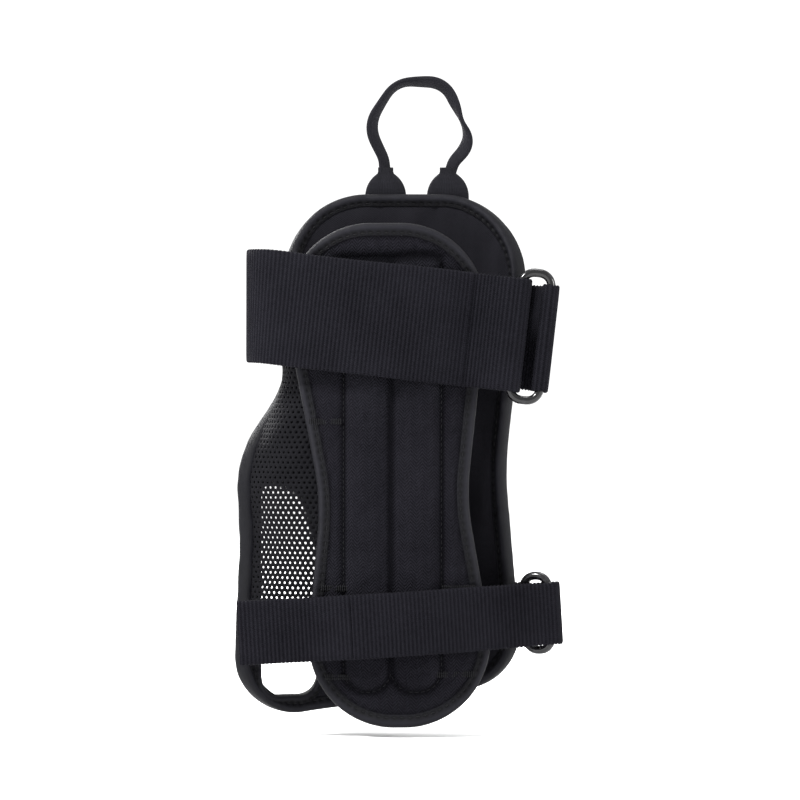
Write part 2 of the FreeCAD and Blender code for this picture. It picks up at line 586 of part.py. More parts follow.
def lower_strap():
    """Narrow strap. It crosses the back of the hand from the thumb side, folds round its ring's
    outer bar and comes back over itself to a cut end."""
    bar_x, bar_y, inner_x, inner_y = lower_places()
    lean = leaning("lower_tilt")
    slope = "lower_slope"
    first = lower_sketch("lower_inner_section", [
        ("lower_end - 2", "-lower_end_depth", None),
        ("lower_thumb_bend", "-lower_end_depth - 1", "strap_round"),
        ("0", "-strap_crown", "strap_crown_round"),
        ("strap_landing", "strap_landing_depth", "strap_landing_round"),
        ("%s - (%s) * sin(%s)" % (bar_x, FOLD, slope), "%s + (%s) * cos(%s)" % (bar_y, FOLD, slope), None)])
    second = lower_sketch("lower_outer_section", [
        ("lower_end - 2", "-lower_end_depth - (%s)" % LOWER_STEP, None),
        ("lower_thumb_bend", "-lower_end_depth - 1 - (%s)" % LOWER_STEP, "strap_round"),
        ("0", "-strap_crown - (%s)" % LOWER_STEP, "strap_crown_round"),
        ("strap_landing - 2", "strap_landing_depth - 1 - (%s)" % LOWER_STEP, "strap_landing_round"),
        ("%s + (wire / 2 + ring_slack) * sin(%s) + 0.6 * cos(%s)" % (bar_x, slope, slope),
         "%s - (wire / 2 + ring_slack) * cos(%s) + 0.6 * sin(%s)" % (bar_y, slope, slope), None)])
    inner = layer("lower_inner", first, "0", "strap_skin", lean)
    outer = layer("lower_outer", second, "0", "strap_skin", lean)
    rate = "tan(lower_tilt)"

    def band(name, left, right, width="lower_width", middle="lower_height"):
        return upright(name + "_cutter", slanted(name, left, right, middle, width, rate, "0"))

    tube = tilted_tube("lower_fold_tube", bar_x, bar_y, LOWER_RING_Z, "lower_tilt",
                       "wire / 2 + ring_slack", FOLD, "lower_width * cos(lower_tilt)")
    half = lower_sketch("lower_fold_section", [
        ("%s - 8 * sin(%s)" % (bar_x, slope), "%s + 8 * cos(%s)" % (bar_y, slope), None),
        ("%s + 8 * sin(%s)" % (bar_x, slope), "%s - 8 * cos(%s)" % (bar_y, slope), None),
        ("%s + 8 * sin(%s) + 12" % (bar_x, slope), "%s - 8 * cos(%s)" % (bar_y, slope), None),
        ("%s + 12" % bar_x, "%s + 8 * cos(%s)" % (bar_y, slope), None)], closed=True)
    fold = common("lower_fold_half", tube, pushed("lower_fold_cutter", half, lean))
    whole = band("lower_band", "lower_end", "%s + 10" % bar_x)
    back = common("lower_return", outer, band("lower_return_band", "lower_tail_hinge + strap_gap",
                                              "%s + 10" % bar_x))
    node("lower_strap", fuse("lower_strap_piece", common("lower_strap_back", inner, whole), fold, back))
    node("lower_strap_tail", common("lower_strap_tail_piece", outer,
                                    band("lower_tail_band", "lower_end", "lower_tail_hinge - strap_gap")))
    hook = layer("lower_hook", second, "0", "-hook_skin", lean)
    patch = band("lower_hook_band", "lower_end + hook_margin", "lower_end + lower_hook_length",
                 "lower_width - 2 * hook_margin")
    node("lower_hook_patch", common("lower_hook_patch_piece", hook, patch))


def lower_ring():
    bar_x, bar_y, inner_x, inner_y = lower_places()
    wire_ring("lower_ring", "((%s) + (%s)) / 2" % (bar_x, inner_x), "((%s) + (%s)) / 2" % (bar_y, inner_y),
              LOWER_RING_Z, "lower_ring_width", "(lower_width + 2 * lower_side_gap + 2 * wire)",
              "lower_tilt", "lower_ring_lean")
    sewn = common("lower_tab_sewn",
                  layer("lower_tab_flat", PALM_SECTION, "binding_skin + strap_gap", "tab_skin"),
                  upright("lower_tab_sewn_cutter", slanted(
                      "lower_tab_sewn_band", "lower_tab_start", "palm_waist_ulnar + 6", LOWER_RING_Z,
                      "lower_width - 2 * lower_tab_side", "0", inner_x)))
    tab = lower_sketch("lower_tab_section", [
        ("palm_ulnar_bend + 8", "palm_face - 7.2", None),
        ("%s + %s" % (inner_x, TAB_INSIDE), "palm_face - 11", "3"),
        ("%s + %s" % (inner_x, TAB_INSIDE), inner_y, None)])
    face = grown("lower_tab_face", tab, "-tab_skin", fill=True)
    strip = common("lower_tab_strip", pushed("lower_tab_layer", face, leaning("lower_tilt")),
                   upright("lower_tab_cutter", slanted(
                       "lower_tab_band", "lower_tab_start", "%s + 20" % inner_x, LOWER_RING_Z,
                       "lower_width - 2 * lower_tab_side", "tan(lower_tilt)", inner_x)))
    loop = tilted_tube("lower_tab_tube", inner_x, inner_y, LOWER_RING_Z, "lower_tilt",
                       "wire / 2 + pin_gap", "wire / 2 + pin_gap + tab_skin",
                       "lower_width - 2 * lower_tab_side - 1")
    node("lower_ring_tab", fuse("lower_ring_tab_piece", sewn, strip, loop))


# --------------------------------------------------------------------------- hanger
def hanger():
    """Loop of folded webbing over the top edge, on two feet sewn to the palm panel's outer face."""
    slab = layer("hanger_foot", PALM_SECTION, "binding_skin + strap_gap", "hanger_foot_skin")
    for name, centre in (("thumb", "hanger_foot_left"), ("ulnar", "hanger_foot_right")):
        half = "hanger_foot_width / 2"
        outline = sketch("hanger_foot_%s_outline" % name, [
            ("%s - %s" % (centre, half), "palm_top - hanger_foot_sew", None),
            ("%s + %s" % (centre, half), "palm_top - hanger_foot_sew", None),
            ("%s + %s" % (centre, half), "palm_top", "4"),
            ("%s + 3" % centre, "palm_top + hanger_foot_rise", "2"),
            ("%s - 3" % centre, "palm_top + hanger_foot_rise", "2"),
            ("%s - %s" % (centre, half), "palm_top", "4")])
        node("hanger_foot_" + name, common("hanger_foot_%s_piece" % name, slab,
                                           upright("hanger_foot_%s_cutter" % name, outline)))
    start = "palm_top + hanger_foot_rise + hanger_gap + hanger_depth / 2"
    path = sketch("hanger_path", [
        ("hanger_foot_left", start, None),
        ("hanger_left", "palm_top + 28", "11"),
        ("hanger_foot_left + 4", "palm_top + hanger_rise - hanger_width / 2", "10"),
        ("hanger_foot_right - 1", "palm_top + hanger_rise - hanger_width / 2", "10"),
        ("hanger_right", "palm_top + 18", "9"),
        ("hanger_foot_right + 4", start, None)], closed=False)
    face = grown("hanger_face", path, "hanger_width / 2", fill=True, mode="Pipe")
    strip = pushed("hanger_strip", face, Vector(0, 1, 0), "hanger_depth", "0")
    middle = "palm_face + binding_skin + strap_gap + hanger_foot_skin / 2"
    bind(strip, {"Placement.Base.y": "%s - hanger_depth / 2" % middle})
    node("hanger_loop", strip)


# --------------------------------------------------------------------------- build
PALM_EDGE = palm_panel()
palm_pads()
BACK_EDGE = back_panel()
mesh_gusset(PALM_EDGE, BACK_EDGE)
upper_strap()
upper_ring()
lower_strap()
lower_ring()
hanger()
DOC.recompute()

for item in DOC.Objects:
    if "Invalid" in item.State or "Error" in item.State:
        raise SystemExit("%s failed: %s" % (item.Name, item.State))
os.makedirs("parts", exist_ok=True)
for item in NODES:
    shape = item.Shape
    if shape.isNull() or not shape.isValid() or not shape.Solids:
        raise SystemExit("%s has no sound solid" % item.Label)
    shape.exportStep("parts/%s.step" % item.Label)
    box = shape.BoundBox
    print("%-22s %d solid %8.0f mm3  x %6.1f %6.1f  y %6.1f %6.1f  z %6.1f %6.1f" % (
        item.Label, len(shape.Solids), shape.Volume,
        box.XMin, box.XMax, box.YMin, box.YMax, box.ZMin, box.ZMax))
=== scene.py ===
import math

import bmesh
import bpy
import numpy as np
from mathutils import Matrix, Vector, noise


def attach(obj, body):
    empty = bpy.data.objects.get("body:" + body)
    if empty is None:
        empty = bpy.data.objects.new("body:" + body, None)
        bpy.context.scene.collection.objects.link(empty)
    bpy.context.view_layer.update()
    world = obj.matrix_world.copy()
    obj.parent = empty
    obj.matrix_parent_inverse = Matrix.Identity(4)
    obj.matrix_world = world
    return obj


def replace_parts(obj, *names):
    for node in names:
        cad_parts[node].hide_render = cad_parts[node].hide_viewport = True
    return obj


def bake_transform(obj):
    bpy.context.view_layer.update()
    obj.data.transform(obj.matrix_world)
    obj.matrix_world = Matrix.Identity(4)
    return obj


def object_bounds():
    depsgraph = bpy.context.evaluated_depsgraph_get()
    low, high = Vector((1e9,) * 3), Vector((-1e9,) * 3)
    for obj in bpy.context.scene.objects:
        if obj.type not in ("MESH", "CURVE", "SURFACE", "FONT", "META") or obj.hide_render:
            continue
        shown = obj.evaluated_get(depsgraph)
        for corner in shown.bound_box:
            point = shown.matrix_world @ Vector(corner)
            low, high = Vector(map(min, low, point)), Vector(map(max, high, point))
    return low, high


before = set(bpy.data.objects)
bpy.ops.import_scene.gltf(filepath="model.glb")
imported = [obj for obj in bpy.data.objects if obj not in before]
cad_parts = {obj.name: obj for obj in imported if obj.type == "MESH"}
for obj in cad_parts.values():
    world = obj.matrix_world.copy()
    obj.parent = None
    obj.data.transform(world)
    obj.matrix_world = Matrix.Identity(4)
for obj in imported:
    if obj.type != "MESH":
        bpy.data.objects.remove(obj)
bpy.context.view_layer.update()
toMetres = 0.001  # every size below is in millimetres, and pieces turn to metres as they are made
print("loaded", len(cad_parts), "parts of the guard")

for old in [o for o in bpy.data.objects if o.type in ("LIGHT", "CAMERA")]:
    bpy.data.objects.remove(old)


# node trees: one method makes any node, and sums of sockets are written as Python
class Amount:
    def __init__(self, owner, socket):
        self.owner, self.socket = owner, socket

    def maths(self, operation, *values):
        made = self.owner.node("ShaderNodeMath", {"operation": operation}, dict(enumerate(values)))
        return Amount(self.owner, made.outputs[0])

    def __add__(self, other):
        return self.maths("ADD", self, other)

    def __radd__(self, other):
        return self.maths("ADD", other, self)

    def __sub__(self, other):
        return self.maths("SUBTRACT", self, other)

    def __rsub__(self, other):
        return self.maths("SUBTRACT", other, self)

    def __mul__(self, other):
        return self.maths("MULTIPLY", self, other)

    def __rmul__(self, other):
        return self.maths("MULTIPLY", other, self)

    def __truediv__(self, other):
        return self.maths("DIVIDE", self, other)

    def __rtruediv__(self, other):
        return self.maths("DIVIDE", other, self)

    def __pow__(self, other):
        return self.maths("POWER", self, other)

    def wave(self, pitch):
        return (self * (2 * math.pi / pitch)).maths("SINE", self * (2 * math.pi / pitch))

    def part(self):
        return self.maths("FRACT", self)

    def size(self):
        return self.maths("ABSOLUTE", self)

    def between(self, low, high):
        made = self.owner.node("ShaderNodeMapRange", {"interpolation_type": "SMOOTHSTEP"},
                               {"Value": self, "From Min": low, "From Max": high})
        return Amount(self.owner, made.outputs["Result"])


class NodeTree:
    def __init__(self, tree):
        self.tree = tree

    def feed(self, slot, value):
        if isinstance(value, Amount):
            value = value.socket
        if isinstance(value, bpy.types.NodeSocket):
            self.tree.links.new(value, slot)
        else:
            slot.default_value = value

    def node(self, kind, settings=None, values=None):
        made = self.tree.nodes.new(kind)
        for word, setting in (settings or {}).items():
            setattr(made, word, setting)
        for slot, value in (values or {}).items():
            self.feed(made.inputs[slot], value)
        return made


class Finish(NodeTree):
    # one material: a Principled shader, the piece's flat map in millimetres and its object coordinates
    def __init__(self, name, settings):
        self.material = bpy.data.materials.new(name)
        self.material.use_nodes = True
        super().__init__(self.material.node_tree)
        self.tree.nodes.clear()
        self.shader = self.node("ShaderNodeBsdfPrincipled")
        self.node("ShaderNodeOutputMaterial", None, {"Surface": self.shader.outputs[0]})
        for slot, value in settings.items():
            self.shader.inputs[slot].default_value = value

    def flat(self):
        spot = self.node("ShaderNodeUVMap", {"uv_map": "flat"})
        parts = self.node("ShaderNodeSeparateXYZ", None, {0: spot.outputs[0]})
        return Amount(self, parts.outputs[0]), Amount(self, parts.outputs[1])

    def mark(self, name):
        return Amount(self, self.node("ShaderNodeAttribute", {"attribute_name": name}).outputs["Fac"])

    def cloud(self, scale, detail=2.0):
        spot = self.node("ShaderNodeTexCoord")
        made = self.node("ShaderNodeTexNoise", None, {"Vector": spot.outputs["Object"], "Scale": scale,
                                                      "Detail": detail, "Roughness": 0.55})
        return Amount(self, made.outputs[0])

    def colour(self, dark, light, share):
        made = self.node("ShaderNodeMix", {"data_type": "RGBA"},
                         {"Factor": share, "A": (*dark, 1), "B": (*light, 1)})
        self.feed(self.shader.inputs["Base Color"], made.outputs["Result"])

    def relief(self, height, depth):
        made = self.node("ShaderNodeBump", None, {"Height": height, "Strength": 1.0,
                                                  "Distance": depth * toMetres})
        self.feed(self.shader.inputs["Normal"], made.outputs[0])

    def rough(self, amount):
        self.feed(self.shader.inputs["Roughness"], amount)


twillCloth = {"dark": (0.0018, 0.0017, 0.0026), "light": (0.0098, 0.0094, 0.0126), "zigzag": 4.6, "rib": 1.35,
              "yarn": 0.62, "relief": 0.2}


def twillFinish():
    made = Finish("padTwill", {"Sheen Weight": 0.01, "Sheen Roughness": 0.45, "Specular IOR Level": 0.035,
                               "Sheen Tint": (0.75, 0.73, 0.85, 1)})
    u, v = made.flat()
    slope = ((u / twillCloth["zigzag"]).part() - 0.5).size() * (twillCloth["zigzag"] * 1.1)
    rib = (v + slope).wave(twillCloth["rib"])
    yarn = (u * 0.92 - v * 0.4).wave(twillCloth["yarn"])
    blotch = made.cloud(42, 3)
    fleck = made.cloud(900, 2)
    made.relief(rib * 0.7 + yarn * 0.3 + fleck * 0.9, twillCloth["relief"])
    # the mark read here darkens the colour as painted shade in seams, pocket grooves and beside the binding
    shade = rib * 0.24 + yarn * 0.08 + blotch * 0.75 + fleck * 0.5 - 0.16 - made.mark("paintedShade") * 0.9
    made.colour(twillCloth["dark"], twillCloth["light"], shade)
    made.rough(0.92 - blotch * 0.14)
    return made.material


bindingTape = {"dark": (0.0010, 0.0010, 0.0016), "light": (0.0105, 0.0103, 0.0140), "weave": 0.55, "relief": 0.06}


def bindingFinish():
    made = Finish("edgeTape", {"Sheen Weight": 0.006, "Sheen Roughness": 0.35, "Specular IOR Level": 0.085,
                               "Sheen Tint": (0.82, 0.82, 0.95, 1)})
    u, v = made.flat()
    weave = u.wave(bindingTape["weave"]) * v.wave(bindingTape["weave"] * 1.15)
    blotch = made.cloud(60, 3)
    pucker = made.cloud(300, 2)
    made.relief(weave * 0.6 + pucker * 2.4, bindingTape["relief"])
    # the first mark lightens the colour and lowers roughness as a painted highlight on the roll's crest and
    # between stitches; the second darkens it as painted shade in the stitched valley
    made.colour(bindingTape["dark"], bindingTape["light"],
                blotch * 0.55 + pucker * 0.25 + weave * 0.08 + made.mark("paintedHighlight") * 0.5 - 0.22
                - made.mark("paintedShade") * 0.9)
    made.rough(0.5 + blotch * 0.22 - made.mark("paintedHighlight") * 0.12)
    return made.material


elasticRib = {"dark": (0.0015, 0.0014, 0.0023), "light": (0.0094, 0.0091, 0.0122), "pitch": 1.6, "yarn": 0.8,
              "relief": 0.1}


def elasticFinish():
    made = Finish("ribbedElastic", {"Sheen Weight": 0.01, "Sheen Roughness": 0.4, "Specular IOR Level": 0.04,
                                    "Sheen Tint": (0.78, 0.76, 0.88, 1)})
    u, v = made.flat()
    rib = u.wave(elasticRib["pitch"])
    twist = (v + u * 0.5).wave(elasticRib["yarn"])
    blotch = made.cloud(38, 3)
    fleck = made.cloud(1100, 2)
    made.relief(twist * 0.55 + fleck * 1.1, elasticRib["relief"])
    made.colour(elasticRib["dark"], elasticRib["light"],
                blotch * 0.8 + rib * 0.16 + twist * 0.1 + fleck * 0.6 - 0.3)
    made.rough(0.86 - rib * 0.06)
    return made.material


liningKnit = {"dark": (0.0035, 0.0034, 0.0044), "light": (0.0115, 0.0112, 0.014), "loop": 1.1, "relief": 0.08}


def liningFinish():
    made = Finish("liningKnit", {"Sheen Weight": 0.01, "Sheen Roughness": 0.55, "Specular IOR Level": 0.03,
                                 "Sheen Tint": (0.7, 0.7, 0.8, 1)})
    u, v = made.flat()
    loops = u.wave(liningKnit["loop"]) * v.wave(liningKnit["loop"] * 0.8)
    blotch = made.cloud(30, 3)
    pile = made.cloud(1400, 3)
    made.relief(loops * 0.6 + pile * 1.4, liningKnit["relief"])
    made.colour(liningKnit["dark"], liningKnit["light"], blotch * 0.7 + pile * 0.35 + loops * 0.08 - 0.05)
    made.rough(0.95 - blotch * 0.08)
    return made.material


meshYarn = {"dark": (0.0012, 0.0012, 0.0018), "light": (0.0036, 0.0035, 0.0048), "relief": 0.05}


def meshFinish():
    made = Finish("meshYarn", {"Sheen Weight": 0.01, "Specular IOR Level": 0.06})
    twist = made.cloud(1500, 2)
    made.relief(twist, meshYarn["relief"])
    made.colour(meshYarn["dark"], meshYarn["light"], made.cloud(50, 2) * 0.7 + twist * 0.4 - 0.1)
    made.rough(0.7 + twist * 0.15)
    return made.material


loopWebbing = {"dark": (0.003, 0.003, 0.0042), "light": (0.0135, 0.0131, 0.0168), "weave": 1.0, "relief": 0.09}


def webbingFinish():
    made = Finish("loopWebbing", {"Sheen Weight": 0.02, "Sheen Roughness": 0.4, "Specular IOR Level": 0.08})
    u, v = made.flat()
    weave = (u + v * 0.8).wave(loopWebbing["weave"]) * (u - v * 0.8).wave(loopWebbing["weave"])
    fleck = made.cloud(1200, 2)
    made.relief(weave * 0.8 + fleck * 0.6, loopWebbing["relief"])
    # the mark read here darkens the colour as painted shade at the gathered top of the hanger feet
    made.colour(loopWebbing["dark"], loopWebbing["light"],
                weave * 0.22 + made.cloud(60, 2) * 0.6 + fleck * 0.2 - made.mark("paintedShade") * 0.3)
    made.rough(0.82 - weave * 0.08)
    return made.material


hookTufts = {"dark": (0.003, 0.003, 0.0035), "light": (0.009, 0.009, 0.0105), "pitch": (1.1, 1.3), "relief": 0.35}


def hookFinish():
    made = Finish("hookTape", {"Specular IOR Level": 0.15})
    u, v = made.flat()
    hooks = (u.wave(hookTufts["pitch"][0]) * v.wave(hookTufts["pitch"][1])).between(0.2, 0.8)
    made.relief(hooks, hookTufts["relief"])
    made.colour(hookTufts["dark"], hookTufts["light"], hooks * 0.6 + made.cloud(80, 2) * 0.4)
    made.rough(0.55 - hooks * 0.15)
    return made.material


labelWeave = {"dark": (0.38, 0.38, 0.45), "light": (0.50, 0.50, 0.55), "pitch": (0.45, 0.5), "relief": 0.05}


def labelFinish():
    made = Finish("wovenLabel", {"Sheen Weight": 0.1, "Specular IOR Level": 0.3})
    u, v = made.flat()
    weave = u.wave(labelWeave["pitch"][0]) * v.wave(labelWeave["pitch"][1])
    blotch = made.cloud(70, 2)
    made.relief(weave * 0.6 + blotch * 1.2, labelWeave["relief"])
    # the mark read here darkens the colour as painted shade in the stitched valley inside the rim
    made.colour(labelWeave["dark"], labelWeave["light"],
                0.35 + blotch * 0.5 + weave * 0.08 - made.mark("paintedShade") * 0.6)
    made.rough(0.62 + blotch * 0.12)
    return made.material


wireEnamel = {"dark": (0.003, 0.003, 0.0035), "light": (0.016, 0.016, 0.018), "relief": 0.012}


def wireFinish():
    made = Finish("enamelWire", {"Specular IOR Level": 0.2, "Coat Roughness": 0.12})
    scuff = made.cloud(260, 3)
    made.relief(made.cloud(900, 2), wireEnamel["relief"])
    made.colour(wireEnamel["dark"], wireEnamel["light"], scuff.between(0.5, 0.78))
    made.rough(0.18 + scuff.between(0.45, 0.75) * 0.2)
    made.feed(made.shader.inputs["Coat Weight"], 0.28 - scuff.between(0.55, 0.8) * 0.15)
    return made.material


def threadFinish(name, dark, light):
    made = Finish(name, {"Sheen Weight": 0.02, "Specular IOR Level": 0.12})
    twist = made.cloud(2500, 1)
    made.relief(twist, 0.04)
    made.colour(dark, light, twist * 1.1 - 0.05)
    made.rough(0.5 + twist * 0.2)
    return made.material


def plainFinish(name, dark, light, roughness, grain):
    made = Finish(name, {"Specular IOR Level": 0.3})
    speck = made.cloud(grain, 3)
    made.relief(speck, 0.08)
    made.colour(dark, light, speck)
    made.rough(roughness - speck * 0.12)
    return made.material


finishes = {
    "twill": twillFinish(), "binding": bindingFinish(), "elastic": elasticFinish(), "lining": liningFinish(),
    "mesh": meshFinish(), "webbing": webbingFinish(), "hook": hookFinish(), "label": labelFinish(),
    "wire": wireFinish(), "thread": threadFinish("blackThread", (0.0012, 0.0012, 0.0017), (0.006, 0.006, 0.0075)),
    "whiteThread": threadFinish("whiteThread", (0.35, 0.35, 0.40), (0.5, 0.5, 0.53)),
    "foam": plainFinish("foamCore", (0.035, 0.035, 0.04), (0.06, 0.06, 0.065), 0.9, 700),
    "stay": plainFinish("splintPlastic", (0.02, 0.02, 0.021), (0.038, 0.038, 0.04), 0.55, 260)}
for word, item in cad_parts.items():  # the parts that stay as they are get the finish of their kind
    kind = "stay" if "stay" in word else "foam"
    for slot in item.material_slots:
        slot.material = finishes[kind]
print("finishes ready")


# lines and panels
def unit(run):
    return run / np.maximum(np.linalg.norm(run, axis=-1, keepdims=True), 1e-12)


def lengths(line):
    # how far along a line each of its points is
    return np.concatenate([[0], np.cumsum(np.linalg.norm(np.diff(line, axis=0), axis=1))])


def smoothed(values, reach, closed=False):
    # each row becomes the mean of its neighbours on both sides
    if closed:
        before, after = values[-reach:], values[:reach]
    else:
        before, after = values[:1].repeat(reach, 0), values[-1:].repeat(reach, 0)
    wide = np.concatenate([before, values, after])
    kernel = np.ones(2 * reach + 1) / (2 * reach + 1)
    columns = wide.reshape(len(wide), -1).T
    return np.stack([np.convolve(column, kernel, "valid") for column in columns], axis=1).reshape(values.shape)


def evenly(line, step, closed=False):
    line = np.asarray(line, float)
    if closed:
        line = np.vstack([line, line[:1]])
    travel = lengths(line)
    count = max(2, int(round(travel[-1] / step)))
    spots = np.linspace(0, travel[-1], count + 1)
    if closed:
        spots = spots[:-1]
    return np.stack([np.interp(spots, travel, line[:, i]) for i in range(line.shape[1])], axis=1)


def roundLine(corners, closed=False, step=0.8):
    # straight runs with each corner rounded by its radius, then spaced evenly
    places = [np.array(corner[:2], float) for corner in corners]
    line = []
    for i, corner in enumerate(corners):
        radius = corner[2] if len(corner) > 2 else 0
        if not radius or (not closed and i in (0, len(corners) - 1)):
            line.append(places[i])
            continue
        back, ahead = unit(places[i - 1] - places[i]), unit(places[(i + 1) % len(places)] - places[i])
        half = math.acos(max(-1, min(1, float(back @ ahead)))) / 2
        run = radius / math.tan(half)
        start, end = places[i] + back * run, places[i] + ahead * run
        centre = places[i] + unit(back + ahead) * radius / math.sin(half)
        first = math.atan2(*(start - centre)[::-1])
        turn = (math.atan2(*(end - centre)[::-1]) - first + math.pi) % (2 * math.pi) - math.pi
        count = max(3, int(abs(turn) * radius / 0.5))
        angles = [first + turn * k / count for k in range(count + 1)]
        line += [centre + radius * np.array([math.cos(angle), math.sin(angle)]) for angle in angles]
    return evenly(line, step, closed)


class Section:
    # a panel's outer face seen from above: a spot on it is a length along the line, a height and a rise
    def __init__(self, corners, outward):
        line = roundLine(corners, False, 0.4)
        if line[0, 0] > line[-1, 0]:
            line = line[::-1]
        along = unit(np.gradient(line, axis=0))
        away = unit(smoothed(np.stack([-along[:, 1], along[:, 0]], axis=1) * outward, 4))
        travel = lengths(line)
        self.line, self.away, self.outward = line, away, outward
        self.travel = travel - np.interp(0, line[:, 0], travel)

    def run(self, x):
        return np.interp(x, self.line[:, 0], self.travel)

    def put(self, s, z, h):
        s, z, h = np.broadcast_arrays(np.asarray(s, float), z, h)
        x, y = (np.interp(s, self.travel, self.line[:, i]) for i in range(2))
        nx, ny = (np.interp(s, self.travel, self.away[:, i]) for i in range(2))
        return np.stack([x + nx * h, y + ny * h, z], axis=-1)

    def normal(self, s):
        nx, ny = (np.interp(s, self.travel, self.away[:, i]) for i in range(2))
        return np.stack([nx, ny, 0 * nx], axis=-1)

    def loop(self, corners, step=1.1):
        line = roundLine(corners, True, 0.5)
        return evenly(np.stack([self.run(line[:, 0]), line[:, 1]], axis=1), step, True)


def depth(loop, s, z):
    # how far inside a closed line each spot is; outside it is negative
    shape = np.shape(s)
    spots = np.stack([np.ravel(s), np.ravel(z)], axis=1)
    start, end = loop, np.roll(loop, -1, axis=0)
    run = end - start
    result = np.empty(len(spots))
    for first in range(0, len(spots), 3000):
        spot = spots[first:first + 3000, None, :]
        share = np.clip(((spot - start) * run).sum(-1) / np.maximum((run ** 2).sum(-1), 1e-12), 0, 1)
        gap = np.linalg.norm(spot - (start + share[..., None] * run), axis=-1).min(1)
        crosses = (start[:, 1] > spot[..., 1]) != (end[:, 1] > spot[..., 1])
        rise = np.where(np.abs(run[:, 1]) < 1e-12, 1e-12, run[:, 1])
        hits = crosses & (spot[..., 0] < start[:, 0] + run[:, 0] * (spot[..., 1] - start[:, 1]) / rise)
        result[first:first + 3000] = np.where(hits.sum(1) % 2 == 1, gap, -gap)
    return result.reshape(shape)


def puff(gap, reach):
    return 1 - (1 - np.clip(gap / reach, 0, 1)) ** 2


def groove(gap, width):
    return np.exp(-(gap / width) ** 2)


def lumps(points, scale, seed):
    # slow unevenness of hand-sewn cloth, from -1 to 1
    flat = np.reshape(points, (-1, 3))
    return np.reshape([noise.noise(Vector(p) / scale + Vector((seed, 0, 0))) for p in flat],
                      np.shape(points)[:-1]) * 1.6


def placed(name, data):
    made = bpy.data.objects.new(name, data)
    bpy.context.scene.collection.objects.link(made)
    return made


def makePiece(name, points, faces, flat, finish, marks=None):
    # flat holds one pair of millimetres for each corner of each face, in the order of the faces
    mesh = bpy.data.meshes.new(name)
    mesh.from_pydata((np.reshape(points, (-1, 3)) * toMetres).tolist(), [], [list(map(int, f)) for f in faces])
    layer = mesh.uv_layers.new(name="flat")
    layer.data.foreach_set("uv", np.asarray(flat, np.float32).ravel())
    for word, values in (marks or {}).items():
        values = np.asarray(values, np.float32)
        kind = "FLOAT_VECTOR" if values.ndim == 2 else "FLOAT"
        holder = mesh.attributes.new(word, kind, "POINT")
        holder.data.foreach_set("vector" if values.ndim == 2 else "value", values.ravel())
    shell = bmesh.new()
    shell.from_mesh(mesh)
    bmesh.ops.recalc_face_normals(shell, faces=shell.faces)
    shell.to_mesh(mesh)
    shell.free()
    mesh.polygons.foreach_set("use_smooth", [True] * len(mesh.polygons))
    mesh.materials.append(finishes[finish])
    return placed(name, mesh)


def sweep(points, u, v, closed):
    # faces and flat corners of a tube: rows of points along it, each a closed ring
    rows, ring = points.shape[:2]
    count = rows if closed else rows - 1
    i, j = np.meshgrid(np.arange(count), np.arange(ring), indexing="ij")
    nextI, nextJ = (i + 1) % rows, (j + 1) % ring
    faces = np.stack([i * ring + j, nextI * ring + j, nextI * ring + nextJ, i * ring + nextJ], -1).reshape(-1, 4)
    stepU = u[1] - u[0]
    uNext = np.where(i + 1 < rows, u[np.minimum(i + 1, rows - 1)], u[-1] + stepU)
    wrap = v[-1] + np.linalg.norm(points[0, 0] - points[0, -1])
    vNext = np.where(j + 1 < ring, v[np.minimum(j + 1, ring - 1)], wrap)
    flat = np.stack([np.stack([u[i], v[j]], -1), np.stack([uNext, v[j]], -1),
                     np.stack([uNext, vNext], -1), np.stack([u[i], vNext], -1)], axis=2).reshape(-1, 2)
    faces, flat = [tuple(f) for f in faces], flat.tolist()
    if not closed:
        for row in (0, rows - 1):
            faces.append(tuple(row * ring + k for k in range(ring)))
            flat += [[u[row], v[k]] for k in range(ring)]
    return faces, flat


def solidify(obj):
    # the evaluated shape becomes the piece's own plain mesh
    graph = bpy.context.evaluated_depsgraph_get()
    mesh = bpy.data.meshes.new_from_object(obj.evaluated_get(graph))
    obj.modifiers.clear()
    obj.data = mesh
    return obj


def geometryTree(name, inputs):
    group = bpy.data.node_groups.new(name, "GeometryNodeTree")
    group.interface.new_socket(name="Geometry", in_out="INPUT", socket_type="NodeSocketGeometry")
    kinds = {"material": "NodeSocketMaterial"}
    for word in inputs:
        group.interface.new_socket(name=word, in_out="INPUT", socket_type=kinds.get(word, "NodeSocketFloat"))
    group.interface.new_socket(name="Geometry", in_out="OUTPUT", socket_type="NodeSocketGeometry")
    tree = NodeTree(group)
    start = tree.node("NodeGroupInput")
    return tree, {slot.name: slot for slot in start.outputs if slot.name}


def endTree(tree, geometry, material):
    whole = tree.node("GeometryNodeRealizeInstances", None, {0: geometry})
    smooth = tree.node("GeometryNodeSetShadeSmooth", None, {"Geometry": whole.outputs[0]})
    painted = tree.node("GeometryNodeSetMaterial", None, {"Geometry": smooth.outputs[0], "Material": material})
    tree.node("NodeGroupOutput", None, {0: painted.outputs[0]})
    return tree.tree


def runTree(obj, group, values):
    modifier = obj.modifiers.new("shape", "NODES")
    modifier.node_group = group
    for slot in group.interface.items_tree:
        if slot.item_type == "SOCKET" and slot.in_out == "INPUT" and slot.name in values:
            modifier[slot.identifier] = values[slot.name]
    return solidify(obj)


